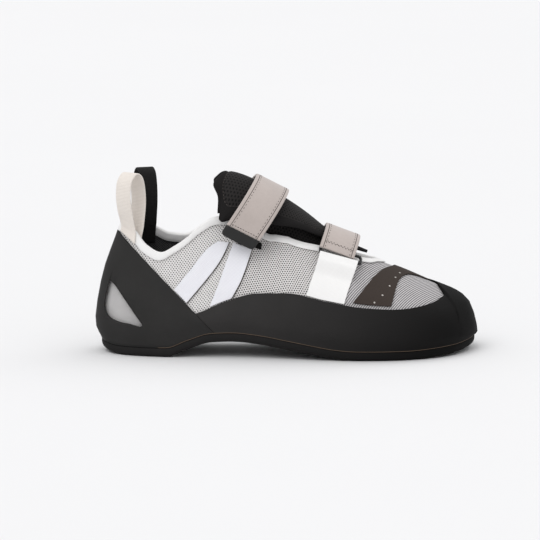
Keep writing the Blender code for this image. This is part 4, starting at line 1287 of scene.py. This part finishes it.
def tube_rows(name, rows, finish, ring=False, cloth=None):
    """Solid from rows that close on themselves across, with its two ends capped unless it is a ring."""
    rows = np.asarray(rows, float)
    height, width = rows.shape[:2]
    faces = []
    columns = width if ring else width - 1
    for r in range(height):
        e = (r + 1) % height
        for c in range(columns):
            d = (c + 1) % width
            faces.append((r * width + c, r * width + d, e * width + d, e * width + c))
    if not ring:
        faces.append(tuple(r * width for r in range(height)))
        faces.append(tuple(r * width + width - 1 for r in reversed(range(height))))
    obj = new_object(name, rows.reshape(-1, 3), faces, finish)
    if cloth is None:
        u = np.broadcast_to(spaced(rows[0]), (height, width))
        v = np.array([spaced(rows[:, c]) for c in range(width)]).T
        cloth = np.stack((u, v), axis=-1)
    add_cloth_map(obj, cloth.reshape(-1, 2))
    tidy_mesh(obj, 0.01)
    return obj


# Pieces over the throat

# Tongue: groove inside its rim, roundness of the rim, and length of its last row
GROOVE_INSET = 6.2
GROOVE_DEPTH = 0.55
RIM_ROLL = 2.6
TONGUE_STEP = 5.2


def fine_tongue():
    """Padded tongue: crowned pad with a sewn groove inside its rim, mesh on top and a plain rim."""
    steps, breadth = 60, 40
    end = len(TONGUE_LINE) - 1
    spans = [end * n / steps for n in range(steps + 1)]
    rims = [-1 + 2 * m / breadth for m in range(breadth + 1)]
    grid = np.array([[tongue_point(s, a, 0) for a in rims] for s in spans])
    under = np.array([[tongue_point(s, a, 1) for a in rims] for s in spans])
    outer, inner, band = [], [], []
    for n, s in enumerate(spans):
        row, low_row, band_row = [], [], []
        half = table_at(TONGUE_LINE, s)[2]
        rear = (end - s) * TONGUE_STEP
        for m, a in enumerate(rims):
            side = (1 - abs(a)) * half * 1.15
            inset = (side**-3 + max(rear, 0.05)**-3) ** (-1 / 3) if side > 0.05 else 0.0
            roll = math.sqrt(max(0.0, 1 - (1 - min(inset, RIM_ROLL) / RIM_ROLL) ** 2))
            groove = GROOVE_DEPTH * math.exp(-((inset - GROOVE_INSET) / 0.9) ** 2)
            crown = 0.8 * smooth((inset - 7.5) / 9)
            lower = (1 - roll) * 0.46 + 0.06 * groove
            top, foot = grid[n, m], under[n, m]
            thickness = np.linalg.norm(foot - top)
            way = (foot - top) / thickness
            row.append(top + way * (thickness * lower + groove - crown * 0.5))
            low_row.append(foot - way * thickness * (1 - roll) * 0.46)
            band_row.append(inset)
        outer.append(row)
        inner.append(low_row)
        band.append(band_row)
    obj = sheet_solid("tongue_pad", outer, inner, TONGUE_EDGE, merge=0.001)
    obj.data.materials.append(TONGUE_MESH)
    insets = np.array(band)
    for face in list(obj.data.polygons)[:steps * breadth]:
        n, m = divmod(face.index, breadth)
        if n < steps and insets[n:n + 2, m:m + 2].mean() > GROOVE_INSET + 0.2:
            face.material_index = 1
    return dress(obj, "mesh_black", "tongue")


def tongue_stitches(inset=GROOVE_INSET, count=160):
    """Stitches in the groove that runs inside the tongue's rim."""
    end = len(TONGUE_LINE) - 1
    points, normals = [], []
    for k in range(count + 1):
        angle = math.pi * (0.035 + 0.93 * k / count)
        rear = inset / max(abs(math.sin(angle)), 1e-6) ** (2 / 3)
        side = inset / max(abs(math.cos(angle)), 1e-6) ** (2 / 3)
        s = end - rear / TONGUE_STEP
        half = table_at(TONGUE_LINE, max(s, 0.0))[2] * 1.15
        if s < 2.5 or side > half:
            continue
        a = (1 - side / half) * (-1 if angle < math.pi / 2 else 1)
        top, foot = tongue_point(s, a, 0), tongue_point(s, a, 1)
        thickness = np.linalg.norm(foot - top)
        way = (foot - top) / thickness
        points.append(top + way * (0.033 * thickness + 0.5))
        normals.append(-way)
    return stitch_row("tongue_stitches", points, normals, DARK_THREAD, "mesh_black", 1.5, 1.0, 0.45, 0.25)


def glue_lines():
    """Thin line of glue where the rand meets the sole."""
    qs = [q for q in fine_positions() if 3.0 <= q <= LOOP - 3.0]
    points, normals = surface(qs, np.full((1, len(qs)), 0.004), RUBBER_GAP + RAND_WALL - 0.1)
    return edge_cord("glue_line", points[0], normals[0], GLUE_LINE, "rubber", 0.55, 0.22)


def fine_gusset():
    steps, breadth = 40, 36
    outer, inner = [], []
    for n in range(steps + 1):
        x, z, half, foot = table_at(GUSSET_LINE, (len(GUSSET_LINE) - 1) * n / steps)
        for rows, wall in ((outer, 0.0), (inner, GUSSET_WALL)):
            row = []
            for m in range(breadth + 1):
                angle = math.pi * (m / breadth - 0.5)
                y = (half - wall) * math.sin(angle) + ridge_offset(round(x, 3))
                height = foot + (z - wall - foot) * max(0.0, math.cos(angle)) ** 0.8
                row.append(np.array((x - SEAT_FROM_BACK, y, height)))
            rows.append(row)
    obj = sheet_solid("gusset_mesh", outer, inner, TONGUE_MESH)
    return dress(obj, "mesh_black", "tongue_gusset")


def strap_point(frame, place, half, depth):
    """Point of a strap: half is the distance across its width, depth the distance out from its middle."""
    origin, up, side = frame
    (y, h), (out_y, out_h) = place
    return origin + up * (h + out_h * depth) + np.array((0, y + out_y * depth, 0)) + side * half


def strap_section(width, wall, radius):
    """Section round a strap: pairs of distance across and depth, with round edges."""
    made = []
    for sign_across, sign_depth, start in ((1, 1, 90), (1, -1, 0), (-1, -1, -90), (-1, 1, -180)):
        for k in range(4):
            angle = math.radians(start - 30 * k)
            made.append((
                sign_across * (width / 2 - radius) + radius * math.cos(angle),
                sign_depth * (wall / 2 - radius) + radius * math.sin(angle),
            ))
    return made


def fine_strap(name, frame, places, node):
    section = strap_section(STRAP_WIDTH, STRAP_WALL, STRAP_WALL * 0.42)
    rows = [[strap_point(frame, place, half, depth) for place in places] for half, depth in section]
    u = spaced(np.array(rows[0]))
    cloth = np.stack((
        np.broadcast_to(u, (len(rows), len(places))),
        np.broadcast_to(np.array([half for half, _ in section])[:, None], (len(rows), len(places))),
    ), axis=-1)
    obj = tube_rows(name, rows, STRAP_SUEDE, False, cloth)
    return dress(obj, "suede_grey", node)


def seam_line(name, frame, places, half, depth, finish, slot, width=0.9, height=0.35):
    """Narrow raised line along a strap's face."""
    rows = []
    for across, out in ((-0.5, -0.6), (-0.35, 0.4), (0.0, 0.6), (0.35, 0.4), (0.5, -0.6)):
        beside, above = half + across * width, depth + out * height
        rows.append([strap_point(frame, place, beside, above) for place in places])
    return dress(tube_rows(name, rows, finish), slot)


def fine_tab():
    """Moulded tab at the strap's end, with round corners."""
    frame = strap_frame(TOP_STRAP_CENTRE, TOP_STRAP_LEAN, TOP_STRAP_SKEW)
    places = path_points(TOP_STRAP_PATH, 0.0, 0.72, 26)
    runs = spaced(np.array([place[0] for place in places]))
    corner = 3.2
    outer, inner = [], []
    for place, run in zip(places, runs):
        inset = corner - math.sqrt(max(0.0, corner**2 - (corner - run) ** 2)) if run < corner else 0.0
        half = STRAP_WIDTH / 2 - inset
        outer_row, inner_row = [], []
        for m in range(25):
            across = -1 + m / 12
            edge = smooth((1 - abs(across)) * half / 1.1) * smooth(0.15 + run / 1.2)
            outer_row.append(strap_point(frame, place, across * half, TAB_WALL / 2 * (0.45 + 0.55 * edge)))
            inner_row.append(strap_point(frame, place, across * half, -TAB_WALL / 2))
        outer.append(outer_row)
        inner.append(inner_row)
    obj = sheet_solid("tab_moulded", outer, inner, TAB_PLASTIC)
    return dress(obj, "plastic_black", "strap_tab")


def stitch_row(name, points, normals, finish, slot, length=1.7, gap=1.1, width=0.5, height=0.3):
    """Row of separate stitches along a line of points on a surface."""
    points, normals = np.asarray(points, float), np.asarray(normals, float)
    runs = spaced(points)
    count = int(runs[-1] // (length + gap))
    verts, faces = [], []
    for n in range(count):
        start = (n + 0.5) * runs[-1] / count - length / 2
        base = len(verts)
        for share, swell in ((0.0, 0.3), (0.2, 0.85), (0.5, 1.0), (0.8, 0.85), (1.0, 0.3)):
            at = start + share * length
            centre = np.array([np.interp(at, runs, points[:, k]) for k in range(3)])
            ahead = np.array([np.interp(at + 0.2, runs, points[:, k]) for k in range(3)])
            behind = np.array([np.interp(at - 0.2, runs, points[:, k]) for k in range(3)])
            normal = np.array([np.interp(at, runs, normals[:, k]) for k in range(3)])
            normal /= np.linalg.norm(normal)
            side = np.cross(ahead - behind, normal)
            side /= max(np.linalg.norm(side), 1e-9)
            for k in range(6):
                angle = math.pi * k / 3
                verts.append(centre + side * width / 2 * swell * math.cos(angle)
                             + normal * (height * swell * math.sin(angle)))
        for ring in range(4):
            for k in range(6):
                a, b = base + 6 * ring + k, base + 6 * ring + (k + 1) % 6
                faces.append((a, b, b + 6, a + 6))
        faces.append(tuple(base + k for k in reversed(range(6))))
        faces.append(tuple(base + 24 + k for k in range(6)))
    obj = new_object(name, verts, faces, finish)
    work = bmesh.new()
    work.from_mesh(obj.data)
    bmesh.ops.recalc_face_normals(work, faces=work.faces)
    work.to_mesh(obj.data)
    work.free()
    return dress(obj, slot)


def strap_stitches(name, frame, places, half, depth, finish, slot, **sizes):
    points = [strap_point(frame, place, half, depth) for place in places]
    beyond = [strap_point(frame, place, half, depth + 1.0) for place in places]
    normals = [b - a for a, b in zip(points, beyond)]
    return stitch_row(name, points, normals, finish, slot, **sizes)


def cross_row(name, frame, path, place, swing, count=17):
    """Stitches across a strap at a place along its path, straight or swinging to and fro."""
    points, normals = [], []
    for n in range(count):
        half = (STRAP_WIDTH / 2 - 2.6) * (2 * n / (count - 1) - 1)
        spot = path_points(path, place + (swing if n % 2 else 0.0), place + 0.5, 1)[0]
        points.append(strap_point(frame, spot, half, STRAP_WALL / 2 + 0.03))
        normals.append(strap_point(frame, spot, half, STRAP_WALL / 2 + 1.03) - points[-1])
    return stitch_row(name, points, normals, DARK_THREAD, "suede_grey", 1.3, 0.5, 0.5, 0.25)


# Pieces draped on the upper

def spread(grid, rows, columns):
    """A coarse grid of q and t made finer in both directions."""
    grid = np.asarray(grid, float)
    tall = np.array([through(grid, s) for s in np.linspace(0, len(grid) - 1, rows)])
    wide = tall.transpose(1, 0, 2)
    made = np.array([through(wide, s) for s in np.linspace(0, len(wide) - 1, columns)])
    return made.transpose(1, 0, 2)


def on_surface(grid, lift):
    """Points of a grid of q and t at a lift, where t beyond 1 is over the ridge on the medial side."""
    grid = np.asarray(grid, float)
    flat = grid.reshape(-1, 2)
    over = flat[:, 1] > 1
    qs = [float(q if not far else (LOOP - q) % LOOP) for (q, _), far in zip(flat, over)]
    ts = np.where(over, 2 - flat[:, 1], flat[:, 1])[None]
    lifts = np.broadcast_to(np.asarray(lift, float), grid.shape[:2]).reshape(1, -1)
    points, normals = surface(qs, ts, lifts)
    return points[0].reshape(*grid.shape[:2], 3), normals[0].reshape(*grid.shape[:2], 3)


def draped_grid(edges, footed=True, steps=6, breadth=3):
    left, right = (np.array(edge, float) for edge in edges)
    across = [m / breadth for m in range(breadth + 1)]
    feet = [seen_place(*(left[-1] + (right[-1] - left[-1]) * m)) for m in across]
    shifts = [foot_shift(foot) if footed else 0.0 for foot in feet]
    made = []
    for n in range(steps + 1):
        s = n / steps * (len(left) - 1)
        a, b = through(left, s), through(right, s)
        seen = [seen_place(*(a + (b - a) * m)) for m in across]
        made.append([(q, t + shift * n / steps) for (q, t), shift in zip(seen, shifts)])
    return made


def fine_sheet(name, grid, rows, columns, wall, finish, slot, node, rise=None):
    fine = spread(grid, rows, columns)
    lift = DRAPE_GAP + np.array([rise(n / (rows - 1)) if rise else 0.0 for n in range(rows)])[:, None]
    outer, normals = on_surface(fine, lift + wall)
    inner, _ = on_surface(fine, lift)
    obj = sheet_solid(name, outer, inner, finish)
    soft_edges(obj, 0.3)
    dress(obj, slot, node)
    return outer, normals


def edge_cord(name, points, normals, finish, slot, width=0.9, height=0.5):
    """Thin half-round cord along a line on a surface."""
    points, normals = np.asarray(points, float), np.asarray(normals, float)
    along = np.gradient(points, axis=0)
    side = np.cross(along, normals)
    side /= np.linalg.norm(side, axis=1, keepdims=True)
    rows = []
    for k in range(6):
        angle = math.pi * k / 3
        rows.append(points + side * width / 2 * math.cos(angle) + normals * height * math.sin(angle))
    return dress(tube_rows(name, rows, finish), slot)


def overlay_dots(places, size=1.25):
    """Small round prints on the toe overlay, each seen at a distance along the last and a height."""
    verts, faces = [], []
    for x, up in places:
        points, normals = on_surface([[seen_place(x, up)]], DRAPE_GAP + OVERLAY_WALL)
        centre, normal = points[0, 0], normals[0, 0]
        across = np.cross(normal, (0.0, 0.0, 1.0))
        across /= np.linalg.norm(across)
        upward = np.cross(across, normal)
        base = len(verts)
        for lift in (-0.1, 0.12):
            for k in range(12):
                angle = math.pi * k / 6
                ray = across * math.cos(angle) + upward * math.sin(angle)
                verts.append(centre + ray * size / 2 + normal * lift)
        for k in range(12):
            faces.append((base + k, base + (k + 1) % 12, base + 12 + (k + 1) % 12, base + 12 + k))
        faces.append(tuple(base + 12 + k for k in range(12)))
        faces.append(tuple(base + k for k in reversed(range(12))))
    obj = new_object("overlay_dots", verts, faces, DOT_PRINT, False)
    return dress(obj, "toe_overlay")


def overlay_grid(steps=20, breadth=4):
    """Grid of q and t for the toe overlay, with t beyond 1 on the medial side."""
    places = [row[0] for row in OVERLAY_LINE]
    rear_line = list(zip(places, [row[1] for row in OVERLAY_LINE]))
    front_line = list(zip(places, [row[2] for row in OVERLAY_LINE]))
    made = []
    for n in range(steps + 1):
        across = -1 + 2 * n / steps
        rear, front = curve(rear_line, across), curve(front_line, across)
        side = 1 if across <= 0 else -1
        row = []
        for m in range(breadth + 1):
            x = rear + (front - rear) * m / breadth

            def spot(q):
                place = side_position(q, side)
                low = rand_share(place) + OVERLAY_CLEAR if rand_share(place) < 1 else 1.0
                return place % LOOP, min(low + (1 - low) * (1 - abs(across)), 1.0)

            q = solve(lambda q: place_share(*spot(q)) * LAST_LENGTH - x, 5.0, 10.8)
            t = spot(q)[1]
            row.append((q, t if across <= 0 else 2 - t))
        made.append(row)
    return made


def fine_ring():
    left, middle, right = (seen_place(*spot) for spot in RING_SPOTS)
    centre = lifted(*middle, RING_LIFT)
    along = lifted(*right, RING_LIFT) - lifted(*left, RING_LIFT)
    along /= np.linalg.norm(along)
    up = np.cross(along, -last_normal(*middle))
    up /= np.linalg.norm(up)
    out = np.cross(up, along)
    bend = RING_BAR
    arm = (RING_LENGTH / 2 - RING_BAR / 2 - bend, RING_HEIGHT / 2 - RING_BAR / 2 - bend)
    columns = []
    for corner in range(4):
        middle_angle = math.pi / 2 * (corner + 0.5)
        hub = centre + along * math.copysign(arm[0], math.cos(middle_angle))
        hub = hub + up * math.copysign(arm[1], math.sin(middle_angle))
        for turn in range(7):
            angle = math.pi / 2 * (corner + turn / 6)
            way = along * math.cos(angle) + up * math.sin(angle)
            column = []
            for k in range(14):
                around = 2 * math.pi * k / 14
                away = bend + RING_BAR / 2 * math.cos(around)
                column.append(hub + way * away + out * RING_BAR / 2 * math.sin(around))
            columns.append(column)
    obj = tube_rows("ring_wire", np.array(columns).transpose(1, 0, 2), RING_PLASTIC, True)
    return dress(obj, "plastic_black", "slot_ring")


def fine_pull_loop(name, side, finish, slot, node):
    q = side_position(LOOP_PLACES[side], side)
    edge = edge_share(q)
    base = last_point(q, edge)
    ahead = last_point((q + 0.2) % LOOP, edge) - last_point((q - 0.2) % LOOP, edge)
    ahead[2] = 0
    ahead /= np.linalg.norm(ahead)
    out = np.cross(ahead, (0.0, 0.0, 1.0))
    origin, up = np.array((base[0], base[1], 0.0)), np.array((0.0, 0.0, 1.0))
    fall = base - last_point(q, edge - 0.1)
    slope = fall @ out / fall[2]
    count = 90
    section = strap_section(LOOP_WIDTH, LOOP_WALL, LOOP_WALL * 0.42)
    rows = []
    for across, depth in section:
        row = []
        for n, ((distance, height), (out_way, up_way)) in enumerate(
                path_points(LOOP_LINE, 0, len(LOOP_LINE) - 1, count)):
            lean = min(0.0, height - base[2]) * slope
            share = across / LOOP_WIDTH
            slant = -share * side * LOOP_FOOT_SLANT * max(0.0, 1 - 26 * n / count / 6)
            centre = origin + out * (distance + lean) + up * (height + slant)
            normal = -(out * out_way + up * up_way)
            row.append(centre + ahead * across + normal * depth)
        rows.append(row)
    u = spaced(np.array(rows[0]))
    cloth = np.stack((
        np.broadcast_to(u, (len(rows), count + 1)),
        np.broadcast_to(np.array([across for across, _ in section])[:, None], (len(rows), count + 1)),
    ), axis=-1)
    obj = tube_rows(name, rows, finish, False, cloth)
    return dress(obj, slot, node)


def fine_insole():
    qs = fine_positions()
    rows = [[] for _ in range(6)]
    for q in qs:
        edge = inward(q, last_point(q, 0.0), INSOLE_INSET)
        soft = inward(q, last_point(q, 0.0), INSOLE_INSET + 1.0)
        share = spine_share(q)
        spine = np.array((world_x(share), spine_offset(q), edge[2]))
        spots = ((spine, 0), (soft, 0), (edge, 0.2), (edge, 0.7), (soft, 1), (spine, 1))
        for row, (point, lift) in enumerate(spots):
            rows[row].append(point + np.array((0, 0, UPPER_WALL + GAP + lift * INSOLE_THICKNESS)))
    return dress(closed_rows("footbed", rows, FOOTBED), "insole_grey", "insole")


# Stage

def sun(name, way, strength, angle):
    """Wide soft light from a direction, equally strong all over the floor."""
    data = bpy.data.lights.new(name, "SUN")
    data.energy = strength
    data.angle = math.radians(angle)
    light = bpy.data.objects.new(name, data)
    light.rotation_euler = (-Vector(way)).to_track_quat("-Z", "Y").to_euler()
    bpy.context.scene.collection.objects.link(light)


def floor():
    f = Finish("floor_paint", 0.95, 0.0, 0.05)
    cloud = f.noise(2.0)
    f.colour(f.mix(cloud, (0.79, 0.79, 0.795), (0.81, 0.81, 0.815)))
    size = 6.0 / METRE
    corners = [(-size, -size, 0.0), (size, -size, 0.0), (size, size, 0.0), (-size, size, 0.0)]
    obj = new_object("studio_floor", corners, [(0, 1, 2, 3)], f.material, False)


def studio():
    floor()
    world = bpy.data.worlds.new("studio")
    world.use_nodes = True
    background = world.node_tree.nodes["Background"]
    background.inputs[0].default_value = (0.99, 0.99, 1.0, 1.0)
    background.inputs[1].default_value = 0.70
    bpy.context.scene.world = world
    bpy.context.scene.view_settings.view_transform = "Standard"
    sun("key", (-0.45, -0.8, 1.05), 0.95, 45)
    sun("top", (0.1, 0.1, 1.0), 0.60, 80)
    sun("rim", (0.7, 0.6, 0.8), 0.30, 50)
    data = bpy.data.cameras.new("camera")
    data.sensor_width = 36.0
    distance = 3.5
    data.lens = data.sensor_width * distance / 0.3704
    data.clip_start = 0.1
    data.clip_end = 50.0
    camera = bpy.data.objects.new("camera", data)
    aim = Vector((0.0809, 0.0, 0.0556))
    back = Vector((0.0, -math.cos(SIGHT_ANGLE), math.sin(SIGHT_ANGLE)))
    camera.location = aim + back * distance
    camera.rotation_euler = (-back).to_track_quat("-Z", "Y").to_euler()
    bpy.context.scene.collection.objects.link(camera)
    bpy.context.scene.camera = camera


def main():
    studio()
    fine_upper()
    fine_outsole()
    fine_rand()
    fine_heel_band()
    fine_binding()
    fine_insole()
    fine_tongue()
    tongue_stitches()
    fine_gusset()
    glue_lines()
    top_frame = strap_frame(TOP_STRAP_CENTRE, TOP_STRAP_LEAN, TOP_STRAP_SKEW)
    top_line = path_points(TOP_STRAP_PATH, 0.75, 11, 100)
    fine_strap("top_strap_suede", top_frame, top_line, "top_strap")
    fine_tab()
    low_frame = strap_frame(LOWER_STRAP_CENTRE, LOWER_STRAP_LEAN, LOWER_STRAP_SKEW)
    low_line = path_points(LOWER_STRAP_PATH, 0, 8, 80)
    fine_strap("lower_strap_suede", low_frame, low_line, "lower_strap")
    for label, frame, line in (("top", top_frame, top_line), ("lower", low_frame, low_line)):
        for side in (-1, 1):
            seam_line(f"{label}_strap_seam_{'rear' if side < 0 else 'front'}", frame, line,
                      side * (STRAP_WIDTH / 2 - 2.4), STRAP_WALL / 2, DARK_THREAD, "suede_grey", 0.55, 0.12)
    for label, frame, line in (("top", top_frame, top_line), ("lower", low_frame, low_line)):
        for side in (-1, 1):
            strap_stitches(f"{label}_strap_stitches_{'rear' if side < 0 else 'front'}", frame, line,
                           side * (STRAP_WIDTH / 2 - 3.6), STRAP_WALL / 2 + 0.02, DARK_THREAD, "suede_grey",
                           length=1.3, gap=1.5, width=0.4, height=0.2)
    cross_row("tab_stitches", top_frame, TOP_STRAP_PATH, 0.92, 0.0)
    cross_row("hem_stitches", low_frame, LOWER_STRAP_PATH, 0.75, 0.22)
    for name, edges in (("rear", STRIPE_REAR), ("front", STRIPE_FRONT)):
        grid = draped_grid(edges)
        outer, normals = fine_sheet(f"stripe_{name}_tape", grid, 40, 16, WEBBING_WALL, LAVENDER_TAPE,
                                    "webbing_lavender", f"stripe_{name}")
        edge_cord(f"stripe_{name}_seam", outer[:, -1] - normals[:, -1] * 0.6, normals[:, -1], DARK_THREAD,
                  "webbing_lavender", 1.0, 0.5)
    fine_sheet("hook_patch_pile", draped_grid(HOOK_PATCH, False, 3, 4), 12, 30, PATCH_WALL, HOOKS,
               "plastic_black", "hook_patch")
    fine_sheet("anchor_tape", draped_grid(WEBBING), 48, 30, WEBBING_WALL, WHITE_TAPE, "webbing_white",
               "anchor_webbing", webbing_rise)
    fine_sheet("toe_overlay_film", overlay_grid(), 90, 18, OVERLAY_WALL, OVERLAY_FILM, "toe_overlay",
               "toe_overlay")
    overlay_dots(OVERLAY_DOTS)
    fine_ring()
    fine_pull_loop("pull_loop_outer_tape", 1, BEIGE_TAPE, "webbing_beige", "pull_loop_lateral")
    fine_pull_loop("pull_loop_inner_tape", -1, BLACK_TAPE, "mesh_black", "pull_loop_medial")


main()
